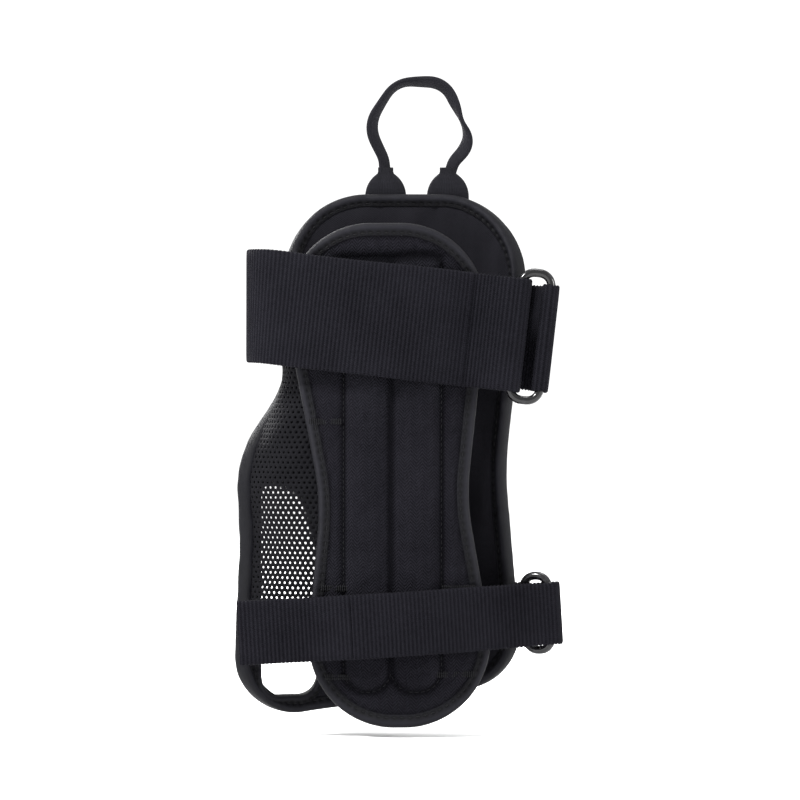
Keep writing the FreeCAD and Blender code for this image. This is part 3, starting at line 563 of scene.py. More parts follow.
def ribTree():
    # ribs across a strap, and the small teeth they leave along its two edges
    tree, given = geometryTree("strapRibs", ["pitch", "height", "teeth", "material"])
    read = lambda word, kind: tree.node("GeometryNodeInputNamedAttribute", {"data_type": kind}, {"Name": word})
    along = Amount(tree, read("along", "FLOAT").outputs[0])
    side = Amount(tree, read("side", "FLOAT").outputs[0])
    across = read("across", "FLOAT_VECTOR").outputs[0]
    turns = along / Amount(tree, given["pitch"]) * (2 * math.pi)
    wave = turns.maths("COSINE", turns)
    rise = wave * Amount(tree, given["height"]) * (1 - (side.size() ** 14))
    tooth = wave * Amount(tree, given["teeth"]) * (side ** 15)
    normal = tree.node("GeometryNodeInputNormal").outputs[0]
    lift = tree.node("ShaderNodeVectorMath", {"operation": "SCALE"}, {0: normal, "Scale": rise})
    spread = tree.node("ShaderNodeVectorMath", {"operation": "SCALE"}, {0: across, "Scale": tooth})
    move = tree.node("ShaderNodeVectorMath", {"operation": "ADD"}, {0: lift.outputs[0], 1: spread.outputs[0]})
    moved = tree.node("GeometryNodeSetPosition", None, {"Geometry": given["Geometry"], "Offset": move.outputs[0]})
    return endTree(tree, moved.outputs[0], given["material"])


def stitchTree():
    # stitches spaced along a line of thread, each lying along it or turned across it
    tree, given = geometryTree("stitchRow", ["pitch", "length", "thick", "turn", "material"])
    curve = tree.node("GeometryNodeMeshToCurve", None, {0: given["Geometry"]})
    spots = tree.node("GeometryNodeCurveToPoints", {"mode": "LENGTH"},
                      {"Curve": curve.outputs[0], "Length": given["pitch"]})
    up = tree.node("GeometryNodeInputNamedAttribute", {"data_type": "FLOAT_VECTOR"}, {"Name": "up"})
    along = tree.node("FunctionNodeAlignRotationToVector", {"axis": "X"}, {"Vector": spots.outputs["Tangent"]})
    level = tree.node("FunctionNodeAlignRotationToVector", {"axis": "Z", "pivot_axis": "X"},
                      {"Rotation": along.outputs[0], "Vector": up.outputs[0]})
    bend = tree.node("FunctionNodeAxisAngleToRotation", None, {"Axis": (0, 0, 1), "Angle": given["turn"]})
    turned = tree.node("FunctionNodeRotateRotation", {"rotation_space": "LOCAL"},
                       {"Rotation": level.outputs[0], "Rotate By": bend.outputs[0]})
    bead = tree.node("GeometryNodeMeshUVSphere", None, {"Segments": 8, "Rings": 4, "Radius": 0.5})
    size = tree.node("ShaderNodeCombineXYZ", None, {0: given["length"], 1: given["thick"], 2: given["thick"]})
    shaped = tree.node("GeometryNodeTransform", None, {"Geometry": bead.outputs[0], "Scale": size.outputs[0]})
    rows = tree.node("GeometryNodeInstanceOnPoints", None,
                     {"Points": spots.outputs["Points"], "Instance": shaped.outputs[0],
                      "Rotation": turned.outputs[0]})
    return endTree(tree, rows.outputs[0], given["material"])


def holeTree():
    # a net of triangles becomes the knit between round holes
    tree, given = geometryTree("meshHoles", ["open", "skin", "material"])
    cells = tree.node("GeometryNodeDualMesh", None, {0: given["Geometry"]})
    raised = tree.node("GeometryNodeExtrudeMesh", {"mode": "FACES"},
                       {"Mesh": cells.outputs[0], "Offset Scale": 0.0, "Individual": True})
    shrunk = tree.node("GeometryNodeScaleElements", {"domain": "FACE"},
                       {"Geometry": raised.outputs["Mesh"], "Selection": raised.outputs["Top"],
                        "Scale": given["open"]})
    opened = tree.node("GeometryNodeDeleteGeometry", {"domain": "FACE"},
                       {"Geometry": shrunk.outputs[0], "Selection": raised.outputs["Top"]})
    joined = tree.node("GeometryNodeMergeByDistance", None, {"Geometry": opened.outputs[0], "Distance": 0.00001})
    thick = tree.node("GeometryNodeExtrudeMesh", {"mode": "FACES"},
                      {"Mesh": joined.outputs[0], "Offset Scale": given["skin"], "Individual": False})
    under = tree.node("GeometryNodeFlipFaces", None, {"Mesh": joined.outputs[0]})
    both = tree.node("GeometryNodeJoinGeometry")
    tree.feed(both.inputs[0], thick.outputs["Mesh"])
    tree.feed(both.inputs[0], under.outputs[0])
    closed = tree.node("GeometryNodeMergeByDistance", None, {"Geometry": both.outputs[0], "Distance": 0.00001})
    return endTree(tree, closed.outputs[0], given["material"])


ribGroup, stitchGroup, holeGroup = ribTree(), stitchTree(), holeTree()


def stitches(name, lines, body, pitch=3.0, length=2.2, thick=0.5, turn=0.0, finish="thread"):
    # lines: for each, its points and the way out of the cloth at each point, and whether it closes
    points, ups, edges = [], [], []
    for line, up, closed in lines:
        first = len(points)
        points += [tuple(p * toMetres) for p in line]
        ups += [tuple(n) for n in np.broadcast_to(up, np.shape(line))]
        edges += [(first + i, first + i + 1) for i in range(len(line) - 1)]
        if closed:
            edges.append((len(points) - 1, first))
    mesh = bpy.data.meshes.new(name)
    mesh.from_pydata(points, edges, [])
    holder = mesh.attributes.new("up", "FLOAT_VECTOR", "POINT")
    holder.data.foreach_set("vector", np.asarray(ups, np.float32).ravel())
    made = placed(name, mesh)
    runTree(made, stitchGroup, {"pitch": pitch * toMetres, "length": length * toMetres,
                                "thick": thick * toMetres, "turn": turn, "material": finishes[finish]})
    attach(made, body)
    return made


# each face as X, Y and a corner radius; each outline as X, Z and a corner radius
palmFace = Section([(62, -3.5), (40, 17, 50), (-55.5, 17, 40), (-68.5, -11), (-74, -22.8)], 1)
backFace = Section([(-48, -11), (0, -25, 110), (48, -11)], -1)
palmOutline = [(-45, 125.5, 34), (-43.5, 50, 38), (-63, 20, 45), (-61.5, -14, 90), (-64.5, -87, 23),
               (53, -71, 24), (45.5, 14, 120), (57, 125.5, 34)]
backOutline = [(-50, 112.5, 34), (-29, 3, 90), (-37, -87, 34), (45.5, -87, 34), (29.5, 3, 90),
               (41, 112.5, 34)]
holeOutline = [(-56, -76, 8), (-33, -76, 8), (-24.5, -43, 24), (-38, 4, 10), (-56, 11, 5)]
palmEdge, backEdge = palmFace.loop(palmOutline), backFace.loop(backOutline)
holeEdge = palmFace.loop(holeOutline)


def inflate(points, cells, loose, outward, settings):
    # cloth simulation: seams stay put, and the cloth between them fills out a little
    mesh = bpy.data.meshes.new("clothTrial")
    mesh.from_pydata((points * toMetres).tolist(), [], cells)
    trial = placed("clothTrial", mesh)
    held = trial.vertex_groups.new(name="held")
    for i, share in enumerate(loose):
        held.add([i], float(1 - share), "REPLACE")
    cloth = trial.modifiers.new("cloth", "CLOTH")
    cloth.settings.quality = 4
    cloth.settings.mass = 0.15
    cloth.settings.tension_stiffness = cloth.settings.compression_stiffness = settings["stiffness"]
    cloth.settings.bending_stiffness = 0.3
    cloth.settings.vertex_group_mass = "held"
    cloth.settings.use_pressure = True
    cloth.settings.uniform_pressure_force = settings["pressure"]
    cloth.settings.effector_weights.gravity = 0
    cloth.settings.shrink_min = settings["spare"]
    cloth.point_cache.frame_start, cloth.point_cache.frame_end = 1, settings["frames"]
    for step in range(1, settings["frames"] + 1):
        bpy.context.scene.frame_set(step)
    graph = bpy.context.evaluated_depsgraph_get()
    settled = trial.evaluated_get(graph).data
    found = np.empty(len(points) * 3)
    settled.vertices.foreach_get("co", found)
    move = found.reshape(-1, 3) / toMetres - points
    bpy.context.scene.frame_set(1)
    bpy.data.objects.remove(trial)
    lift = (move * outward).sum(1)
    return np.clip(np.nan_to_num(lift), -0.2, settings["most"]) * np.clip(loose * 3, 0, 1)


def panelShell(name, section, box, inside, front, back, step, finish, cloth=None):
    # a panel's cloth as a closed shell between two heights, cut to the line that its binding hides
    s, z = np.meshgrid(np.arange(box[0], box[1] + step, step), np.arange(box[2], box[3] + step, step),
                       indexing="ij")
    keep = inside(s, z) > 0
    cells = keep[:-1, :-1] & keep[1:, :-1] & keep[1:, 1:] & keep[:-1, 1:]
    used = np.zeros_like(keep)
    for a, b in ((0, 0), (1, 0), (1, 1), (0, 1)):
        used[a:a + cells.shape[0], b:b + cells.shape[1]] |= cells
    number = np.full(keep.shape, -1)
    number[used] = np.arange(used.sum())
    count = int(used.sum())
    us, uz = s[used], z[used]
    i, j = np.nonzero(cells)
    quads = np.stack([number[i, j], number[i + 1, j], number[i + 1, j + 1], number[i, j + 1]], axis=1)
    if section.outward > 0:
        quads = quads[:, ::-1]
    # the front's second value is painted shade for seams and edges, stored as a mark on the outer face
    rise, paintedShade, loose = front(us, uz)
    outer = section.put(us, uz, rise)
    if cloth:
        lift = inflate(outer, quads.tolist(), loose, section.normal(us), cloth)
        print(name, "cloth filled out by up to", round(float(lift.max()), 2), "mm")
        outer = section.put(us, uz, rise + lift)
    inner = section.put(us, uz, back(us, uz))
    seen = {}
    for quad in quads.tolist():
        for k in range(4):
            pair = (quad[k], quad[(k + 1) % 4])
            if pair[::-1] in seen:
                del seen[pair[::-1]]
            else:
                seen[pair] = True
    walls = [(b, a, a + count, b + count) for a, b in seen]
    faces = quads.tolist() + [[v + count for v in quad[::-1]] for quad in quads.tolist()] + walls
    spot = np.stack([np.tile(us, 2), np.tile(uz, 2)], axis=1)
    flat = spot[np.concatenate([np.ravel(face) for face in faces])]
    return makePiece(name, np.vstack([outer, inner]), faces, flat, finish,
                     {"paintedShade": np.concatenate([paintedShade, 0 * paintedShade])})


# the tape's section: how far in from the edge, and how far out of the cloth
foldedTape = [(5.3, -0.3), (5.25, 0.1), (4.65, 0.3), (4.0, 0.02), (3.5, 0.3), (2.8, 0.72), (1.9, 0.9), (1.0, 0.66),
              (0.35, 0.05), (0.02, -0.9), (-0.05, -2.5), (0.02, -4.1), (0.35, -5.05), (1.0, -5.66), (1.9, -5.9),
              (2.8, -5.72), (3.5, -5.3), (4.0, -5.02), (4.65, -5.3), (5.25, -5.1), (5.3, -4.7)]
edgeTape = {"fine": 0.62, "pucker": 0.26, "puckerSize": 4.5, "stitchPitch": 3.1, "stitchLength": 2.3,
            "middle": -2.5, "roll": 1.9, "valley": 4.0}


def edgeFrame(loop, inward):
    # which way is into the cloth at each point of an edge
    ahead = unit(np.roll(loop, -3, axis=0) - np.roll(loop, 3, axis=0))
    ahead = unit(smoothed(ahead, 4, True))
    return np.stack([-ahead[:, 1], ahead[:, 0]], axis=1) * inward


def boundEdge(name, section, loop, inward, reach, swell, seed, body="guard"):
    # folded tape round an edge: a flange, a stitched valley and a round roll on both faces
    loop = evenly(loop, edgeTape["fine"], True)
    away = edgeFrame(loop, inward)
    profile = np.array(foldedTape) * (reach, 1)
    valley = edgeTape["valley"] * reach
    sewn = loop + away * valley
    row = section.put(sewn[:, 0], sewn[:, 1], 0.16)
    gaps = np.linalg.norm(np.roll(row, -1, axis=0) - row, axis=1)
    count = round(gaps.sum() / edgeTape["stitchPitch"])
    turns = (np.cumsum(gaps) - gaps) / gaps.sum() * count
    run = loop[:, None, :] + away[:, None, :] * profile[None, :, :1]
    middle = section.put(loop[:, 0], loop[:, 1], edgeTape["middle"])
    small = lumps(middle, edgeTape["puckerSize"], seed) * edgeTape["pucker"]
    slow = lumps(middle, 26, seed + 9) * 0.22
    rise = profile[None, :, 1]
    full = np.clip(1 - np.abs(profile[:, 0] - edgeTape["roll"] * reach) / 3.2, 0, 1)
    swellUp = 0.5 - 0.5 * np.cos(2 * math.pi * turns)
    dip = groove(profile[:, 0] - valley, 0.7)
    rise = rise + np.sign(rise - edgeTape["middle"]) * ((small + slow + swell)[:, None] * full[None, :]
                                                        + 0.45 * swellUp[:, None] * dip[None, :])
    points = section.put(run[..., 0], run[..., 1], rise)
    u = np.arange(len(loop)) * float(np.linalg.norm(loop[1] - loop[0]))
    v = lengths(profile)
    faces, flat = sweep(points, u, v, True)
    # painted highlight on the roll's crest and on the puckers between stitches; painted shade in the stitched
    # valley, less where the tape puckers
    paintedHighlight = groove(profile[:, 0] - 1.7 * reach, 0.9)
    paintedShade = groove(profile[:, 0] - valley, 0.45)
    paintedShade = paintedShade[None, :] * (1 - 0.75 * swellUp[:, None])
    paintedHighlight = paintedHighlight[None, :] + 0.5 * dip[None, :] * swellUp[:, None]
    made = makePiece(name, points, faces, flat, "binding", {"paintedHighlight": paintedHighlight.ravel(), "paintedShade": paintedShade.ravel()})
    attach(made, body)
    for word, height, side in (("outer", 0.16, 1), ("inner", -5.16, -1)):
        row = section.put(sewn[:, 0], sewn[:, 1], height)
        length = np.linalg.norm(np.roll(row, -1, axis=0) - row, axis=1).sum()
        stitches(name + "." + word, [(row, section.normal(sewn[:, 0]) * side, True)], body,
                 length / (count - 0.5), edgeTape["stitchLength"], 0.5)
    return made


# palm panel
palmPad = {"rise": 2.1, "reach": 4.5, "body": 0.7, "thumbPad": (-20.1, 0.9), "ulnarPad": (10.4, 31.4),
           "padLow": -11, "padHigh": 110, "padRound": 8, "step": 1.5,
           "outerSeam": {"out": 5.0, "low": -9, "high": 104},  # runs beside the forearm pads
           "crossSeam": {"high": -13, "middle": 7, "half": 36},  # between them and the heel pad
           "lowSeam": {"high": -70, "rise": 0.05, "left": -18, "right": 44},  # under the heel pad
           "cloth": {"pressure": 3.0, "stiffness": 12, "spare": -0.03, "frames": 14, "most": 0.7}}


def boxLoop(section, left, right, low, high, radius, topRadius=None):
    top = topRadius or radius
    return section.loop([(left, low, radius), (right, low, radius), (right, high, top), (left, high, top)])


heelOutline = [(-17.5, -63, 6), (40.5, -63, 6), (35.5, -15.5, 6), (-12.5, -15.5, 6)]
padLoops = [boxLoop(palmFace, *palmPad[side], palmPad["padLow"], palmPad["padHigh"], palmPad["padRound"])
            for side in ("thumbPad", "ulnarPad")] + [palmFace.loop(heelOutline)]


def palmInside(s, z):
    return np.minimum(depth(palmEdge, s, z) - 2.2, -depth(holeEdge, s, z) - 1.8)


def palmFront(s, z):
    edge = np.minimum(depth(palmEdge, s, z) - 5.2, -depth(holeEdge, s, z) - 4.2)
    gaps = [depth(loop, s, z) for loop in padLoops]
    near = np.maximum.reduce(gaps)
    body = palmPad["body"] * puff(np.minimum(edge, -near), 7)
    pads = palmPad["rise"] * puff(near, palmPad["reach"])
    seam = groove(near, 0.8)
    forearm = np.maximum(gaps[0], gaps[1])
    outer, cross, low = palmPad["outerSeam"], palmPad["crossSeam"], palmPad["lowSeam"]
    outerSeam = groove(forearm + outer["out"], 0.9) * (z > outer["low"]) * (z < outer["high"])
    crossSeam = groove(z - cross["high"], 1.0) * (np.abs(s - cross["middle"]) < cross["half"])
    lowSeam = groove(z - low["high"] - low["rise"] * s, 0.9) * (s > low["left"]) * (s < low["right"])
    lines = np.clip(outerSeam + crossSeam * 0.8 + lowSeam * 0.8, 0, 1) * (near < 0)
    wave = lumps(palmFace.put(s, z, 0), 17, 3) * 0.22
    rise = np.where(near > 0, pads, body) - 0.4 * seam - 0.55 * lines + wave * np.clip(edge / 4, 0, 1)
    rise = np.maximum(np.where(edge < 0, np.minimum(rise, -0.1), rise), -0.8)
    loose = np.clip((np.minimum(np.abs(near), edge) - 0.8) / 4, 0, 1) * (1 - lines)
    # second value: painted shade along the pad seams, the stitched lines and beside the binding
    return rise, np.clip(seam * 0.8 + lines * 0.8 + groove(edge, 0.7) * 0.6, 0, 1), loose


def coverBack(s, z):
    return np.full(np.shape(s), -1.0)


def liningFace(s, z):
    return np.full(np.shape(s), -1.05), 0 * s, 0 * s


palmBox = (palmFace.run(-67), palmFace.run(55), -88, 127)
palmCover = panelShell("palmCover", palmFace, palmBox, palmInside, palmFront, coverBack, palmPad["step"], "twill",
                       palmPad["cloth"])
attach(palmCover, "guard")
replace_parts(palmCover, "palm_outer_cover", "forearm_pad_thumb", "forearm_pad_ulnar", "heel_pad")


def palmBack(s, z):
    edge = np.minimum(depth(palmEdge, s, z) - 5.2, -depth(holeEdge, s, z) - 4.2)
    lanes = np.minimum.reduce([np.abs(s - lane) for lane in (-6, 17, 31, 43)])
    wave = lumps(palmFace.put(s, z * 0.22, 0), 7, 8) * 0.75
    rise = -5.0 - 0.5 * puff(edge, 6) + 0.6 * groove(lanes, 1.0) + wave * np.clip(edge / 4, 0, 1)
    return np.where(edge < 0, -4.9, rise)


palmLining = panelShell("palmLining", palmFace, palmBox, palmInside, liningFace, palmBack, 2.0, "lining")
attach(palmLining, "guard")
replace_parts(palmLining, "palm_lining", "palm_foam")
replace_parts(boundEdge("palmBinding", palmFace, palmEdge, 1, 1.0, 0.0, 1), "palm_binding")
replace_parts(boundEdge("thumbHoleBinding", palmFace, holeEdge, -1, 0.8, 0.25, 5), "thumb_hole_binding")
seamLines = [(palmFace.put(loop[:, 0], loop[:, 1], 0.25), palmFace.normal(loop[:, 0]), True) for loop in padLoops]
stitches("palmPad.thread", seamLines, "guard", 2.6, 1.9, 0.38)
print("palm panel ready")

# back panel
backPad = {"left": (-19.6, -0.8), "right": (-0.8, 19.2), "low": -73, "high": 99, "lobe": 9, "rise": 1.7,
           "reach": 6.0, "body": 0.6, "step": 1.5,
           "cloth": {"pressure": 2.5, "stiffness": 12, "spare": -0.03, "frames": 14, "most": 0.45}}
channelLoops = [boxLoop(backFace, *backPad[side], backPad["low"], backPad["high"], backPad["lobe"], 3)
                for side in ("left", "right")]


def backInside(s, z):
    return depth(backEdge, s, z) - 2.2


def backFront(s, z):
    edge = depth(backEdge, s, z) - 5.2
    gaps = [depth(loop, s, z) for loop in channelLoops]
    near = np.maximum.reduce(gaps)
    body = backPad["body"] * puff(np.minimum(edge, -near), 5)
    rise = np.where(near > 0, backPad["rise"] * puff(near, backPad["reach"]), body)
    seam = groove(near, 1.0)
    pocket = groove(z - backPad["high"] - 1.2 * np.sin(s / 7), 1.3) * np.clip((24 - np.abs(s + 2)) / 4, 0, 1)
    wave = lumps(backFace.put(s, z, 0), 15, 21) * 0.2
    gather = 0.3 * np.sin(s * 1.9) * groove(z - 95, 5) * (np.abs(s) < 21)
    rise = rise - 0.7 * seam - 1.1 * pocket + (wave + gather) * np.clip(edge / 4, 0, 1)
    rise = np.maximum(np.where(edge < 0, np.minimum(rise, -0.1), rise), -0.8)
    loose = np.clip((np.minimum(np.abs(near), edge) - 0.8) / 4, 0, 1) * (1 - pocket)
    # second value: painted shade along the channel seams, the pocket groove and beside the binding
    return rise, np.clip(seam * 0.9 + pocket + groove(edge, 0.7) * 0.6, 0, 1), loose


backBox = (backFace.run(-47), backFace.run(46), -88, 114)
backCover = panelShell("backCover", backFace, backBox, backInside, backFront, coverBack, backPad["step"], "twill",
                       backPad["cloth"])
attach(backCover, "guard")
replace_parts(backCover, "back_outer_cover")


def backUnder(s, z):
    edge = depth(backEdge, s, z) - 5.2
    wave = lumps(backFace.put(s, z, 0), 14, 4) * 0.25
    return np.where(edge < 0, -4.9, -5.0 - 0.4 * puff(edge, 6) + wave * np.clip(edge / 4, 0, 1))


backLining = panelShell("backLining", backFace, backBox, backInside, liningFace, backUnder, 2.0, "lining")
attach(backLining, "guard")
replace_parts(backLining, "back_lining", "back_foam")
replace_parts(boundEdge("backBinding", backFace, backEdge, 1, 1.0, 0.1, 12), "back_binding")
seamLines = []
for loop in channelLoops:
    first = int(np.argmax(loop[:, 1]))
    line = np.roll(loop, -first, axis=0)
    line = line[line[:, 1] < 95]
    seamLines.append((backFace.put(line[:, 0], line[:, 1], -0.35), backFace.normal(line[:, 0]), False))
stitches("backChannel.thread", seamLines, "guard", 2.4, 1.8, 0.36)
barTacks = {"places": [(-33, -20.5, 34), (-28, -17.5, -32), (19.5, 32, -32), (-26.5, -15.5, -67), (17.5, 33, -66)],
            "rows": (-0.55, 0.55)}
tackLines = []
for left, right, high in barTacks["places"]:
    for row in barTacks["rows"]:
        s = np.linspace(backFace.run(left), backFace.run(right), 14)
        tackLines.append((backFace.put(s, high + row, 0.55), backFace.normal(s), False))
stitches("barTack.thread", tackLines, "guard", 0.75, 1.5, 0.5, math.pi / 2)
print("back panel ready")

# mesh gusset between the two panels on the thumb side
meshNet = {"pitch": 2.3, "open": 0.41, "skin": 0.45, "low": -62, "high": 100, "bulgeLow": 1.2, "bulgeHigh": 7.5}


def gussetRow(height):
    # the row's arc runs from the palm panel's binding to the back panel's
    def leftmost(loop):
        near = loop[np.abs(loop[:, 1] - height) < 1.2]
        return near[:, 0].min() + 2.6
    start = palmFace.put(leftmost(palmEdge), height, -3.4)
    end = backFace.put(leftmost(backEdge), height, -2.6)
    chord = end - start
    out = unit(np.array([chord[1], -chord[0], 0]))
    share = (height - meshNet["low"]) / (meshNet["high"] - meshNet["low"])
    bulge = meshNet["bulgeLow"] * (1 - share) + meshNet["bulgeHigh"] * share
    return start, chord, out, bulge


def meshGusset():
    points, number, faces, widest = [], {}, [], 0
    rowStep = meshNet["pitch"] * math.sqrt(3) / 2
    rows = int((meshNet["high"] - meshNet["low"]) / rowStep)
    for row in range(rows + 1):
        height = meshNet["low"] + row * rowStep
        start, chord, out, bulge = gussetRow(height)
        length = float(np.linalg.norm(chord)) * 1.03
        widest = max(widest, length * 1.06)
        for column in range(-1, int(length / meshNet["pitch"]) + 2):
            share = (column + 0.5 * (row % 2)) * meshNet["pitch"] / length
            if share < -0.02 or share > 1.04:
                continue
            spot = start + chord * share + out * bulge * 4 * share * (1 - share)
            ripple = 0.45 * math.sin(height * 0.16 + share * 5) + 0.25 * math.sin(height * 0.41 - share * 9)
            number[row, column] = len(points)
            points.append(spot + out * ripple * min(1, 6 * max(0, share * (1 - share))))
    for row, column in number:
        shift = row % 2
        for corners in (((0, 0), (0, 1), (1, shift)), ((0, 0), (1, shift), (1, shift - 1))):
            names = [(row + a, column + b) for a, b in corners]
            if all(name in number for name in names):
                faces.append([number[name] for name in names])
    flat = [[points[v][0], points[v][2]] for face in faces for v in face]
    made = makePiece("meshGusset", points, faces, flat, "mesh")
    lows = bmesh.new()
    lows.from_mesh(made.data)
    if sum(face.normal.y for face in lows.faces) > 0:
        bmesh.ops.reverse_faces(lows, faces=lows.faces)
    lows.to_mesh(made.data)
    lows.free()
    area = sum(face.area for face in made.data.polygons)
    runTree(made, holeGroup, {"open": meshNet["open"], "skin": meshNet["skin"] * toMetres,
                              "material": finishes["mesh"]})
    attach(made, "guard")
    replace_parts(made, "mesh_gusset")
    return made, area, (widest * toMetres, rows * rowStep * toMetres)


gusset, gussetArea, gussetCut = meshGusset()
# cut to the tapering gap between the two bindings, so its area is less than width times length
print("mesh gusset ready:", len(gusset.data.polygons), "faces,", round(gussetArea * 1e4, 1), "square centimetres")

# straps
strapShape = {"skin": 1.6, "across": 20, "step": 0.4, "pitch": 1.6, "height": 0.17, "teeth": 0.22}


def stadium(width, skin, count):
    # section of a strap: two flat faces with round selvedges
    half, lip = width / 2 - skin / 2, skin / 2
    top = [(a, lip) for a in np.linspace(-half, half, count)]
    right = [(half + lip * math.sin(t), lip * math.cos(t)) for t in (math.pi / 4, math.pi / 2, 3 * math.pi / 4)]
    return np.array(top + right + [(-a, -b) for a, b in top] + [(-a, -b) for a, b in right])


def tape(name, line, shift, width, skin, tilt, pivot, finish, body="guard", ribs=True, wobble=0.25, seed=1,
         count=None):
    # a flat strap along a line seen from above; tilt leans it about an upright axis through its pivot
    ahead = unit(np.gradient(line, axis=0))
    away = np.stack([ahead[:, 1], -ahead[:, 0]], axis=1)
    ring = stadium(width, skin, count or strapShape["across"])
    u = shift + lengths(line)
    tilt = np.broadcast_to(tilt, len(line))
    spot = np.concatenate([line, np.zeros((len(line), 1))], axis=1)
    slow = lumps(spot + [0, 0, pivot[1]], 22, seed) * wobble
    edgeWave = np.stack([lumps(spot + [0, 0, pivot[1] + side * 30], 30, seed + 5) for side in (-1, 1)], axis=1)
    x = line[:, None, 0] - pivot[0] + away[:, None, 0] * (ring[None, :, 1] + slow[:, None])
    y = line[:, None, 1] + away[:, None, 1] * (ring[None, :, 1] + slow[:, None])
    side = ring[:, 0] / (width / 2)
    a = ring[None, :, 0] + 0.3 * np.where(side > 0, edgeWave[:, 1:], edgeWave[:, :1]) * np.abs(side) ** 3
    cos, sin = np.cos(tilt)[:, None], np.sin(tilt)[:, None]
    points = np.stack([pivot[0] + x * cos + a * sin, y, pivot[1] - x * sin + a * cos], axis=-1)
    v = lengths(ring)
    faces, flat = sweep(points, u, v, False)
    across = np.repeat(np.stack([np.sin(tilt), 0 * tilt, np.cos(tilt)], axis=1), len(ring), axis=0)
    made = makePiece(name, points, faces, flat, finish,
                     {"along": np.repeat(u, len(ring)) * toMetres, "side": np.tile(side, len(line)),
                      "across": across})
    if ribs:
        values = {word: strapShape[word] * toMetres for word in ("pitch", "height", "teeth")}
        runTree(made, ribGroup, {**values, "material": finishes[finish]})
    return made


def foldRound(bar, radius, slope, first, second):
    # a strap's middle line: up to a bar, round it and back over itself
    lean = math.radians(slope)
    ahead, out = np.array([math.cos(lean), math.sin(lean)]), np.array([-math.sin(lean), math.cos(lean)])
    arrive, leave = bar + out * radius, bar - out * radius
    turn = [bar + radius * (out * math.cos(t) + ahead * math.sin(t)) for t in np.linspace(0, math.pi, 25)]
    return (roundLine(first + [tuple(arrive)], False, 0.3), np.array(turn),
            roundLine([tuple(leave)] + second, False, 0.3))


def joined(*lines):
    whole = [lines[0]]
    for line in lines[1:]:
        whole.append(line[1:])
    return evenly(np.vstack(whole), strapShape["step"])


upperStrap = {"width": 45, "tilt": 6.5, "pivot": (-55, 80), "bar": (48.54, -20.4), "fold": 3.8,
              "tailFrom": -36, "tailEnd": 49.6, "start": 38}
upperTurn = math.radians(upperStrap["tilt"])
inLine, turnLine, outLine = foldRound(
    np.array(upperStrap["bar"]), upperStrap["fold"], 0,
    [(66, -2.1), (40, 20.15, 53), (-55.8, 20.15, 15.8), (-55.8, -14.4, 15.8), (0, -28.0, 110),
     (36, -16.6, 20)],
    [(44.6, -24.2, 5), (33, -18.4, 10), (0, -29.75, 110), (-57.55, -15.7, 17.5), (-57.55, 23.05, 17.5),
     (40, 23.05, 56), (68, 1.0)])
inLine = inLine[~((inLine[:, 1] > -3) & (inLine[:, 0] > upperStrap["start"]))]
whole = joined(inLine, turnLine, outLine)
backHalf = np.clip((-whole[:, 1] - 4) / 12, 0, 1) * np.clip((whole[:, 0] + 60) / 26, 0, 1)
leans = smoothed(upperTurn * puff(backHalf, 1.0), 15)  # the strap leans only where it crosses the back
travel = np.arange(len(whole)) * float(np.linalg.norm(whole[1] - whole[0]))
onTail = (np.arange(len(whole)) > len(whole) // 2) & (whole[:, 1] > 10)
split = int(np.argmax(onTail & (whole[:, 0] >= upperStrap["tailFrom"])))
last = int(np.argmax(onTail & (whole[:, 0] >= upperStrap["tailEnd"])))
strap = tape("upperStrap", whole[:split + 1], 0, upperStrap["width"], strapShape["skin"], leans[:split + 1],
             upperStrap["pivot"], "elastic")
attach(strap, "guard")
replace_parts(strap, "upper_strap")
tail = tape("upperTail", whole[split:last + 1], travel[split], upperStrap["width"], strapShape["skin"],
            leans[split:last + 1], upperStrap["pivot"], "elastic")
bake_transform(tail)
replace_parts(tail, "upper_strap_tail")
print("upper strap ready:", len(strap.data.polygons), "faces")

# hook patches: each from one X to another under its tail, and its width
hookPatch = {"skin": 0.9, "lift": 1.27, "upper": (15.6, 46.6, 39), "lower": (-58, -39, 19)}


def hookTape(name, line, settings, tilt, pivot, count=None):
    left, right, width = settings
    line = line[(line[:, 0] > left) & (line[:, 0] < right)]
    ahead = unit(np.gradient(line, axis=0))
    line = line + np.stack([ahead[:, 1], -ahead[:, 0]], axis=1) * hookPatch["lift"]
    return tape(name, line, 0, width, hookPatch["skin"], tilt, pivot, "hook", ribs=False, wobble=0, count=count)


palmTail = whole[split:last + 1]
upperHook = hookTape("upperHook", palmTail, hookPatch["upper"], 0, upperStrap["pivot"])
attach(upperHook, "upper_tail_body")
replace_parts(upperHook, "upper_hook_patch")

lowerStrap = {"width": 25, "tilt": -3.4, "pivot": (0, -46), "bar": (62.5, -9.037), "fold": 3.8,
              "slope": 24, "end": -61, "tailFrom": -16}
lowerTurn = math.radians(lowerStrap["tilt"])
inLine, turnLine, outLine = foldRound(
    np.array(lowerStrap["bar"]), lowerStrap["fold"], lowerStrap["slope"],
    [(lowerStrap["end"], -20.3), (-50, -21.3, 15), (0, -28, 110), (36, -16.6, 20)],
    [(34, -20.5, 20), (0, -30.9, 110), (-50, -24.2, 15), (lowerStrap["end"], -23.2)])
whole = joined(inLine, turnLine, outLine)
travel = np.arange(len(whole)) * float(np.linalg.norm(whole[1] - whole[0]))
outside = np.nonzero((np.arange(len(whole)) > len(whole) // 2) & (whole[:, 0] <= lowerStrap["tailFrom"]))[0]
split = int(outside[0])
strap = tape("lowerStrap", whole[:split + 1], 0, lowerStrap["width"], strapShape["skin"], lowerTurn,
             lowerStrap["pivot"], "elastic", wobble=0.12, seed=4, count=14)
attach(strap, "guard")
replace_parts(strap, "lower_strap")
tail = tape("lowerTail", whole[split:], travel[split], lowerStrap["width"], strapShape["skin"], lowerTurn,
            lowerStrap["pivot"], "elastic", wobble=0.12, seed=4, count=14)
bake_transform(tail)
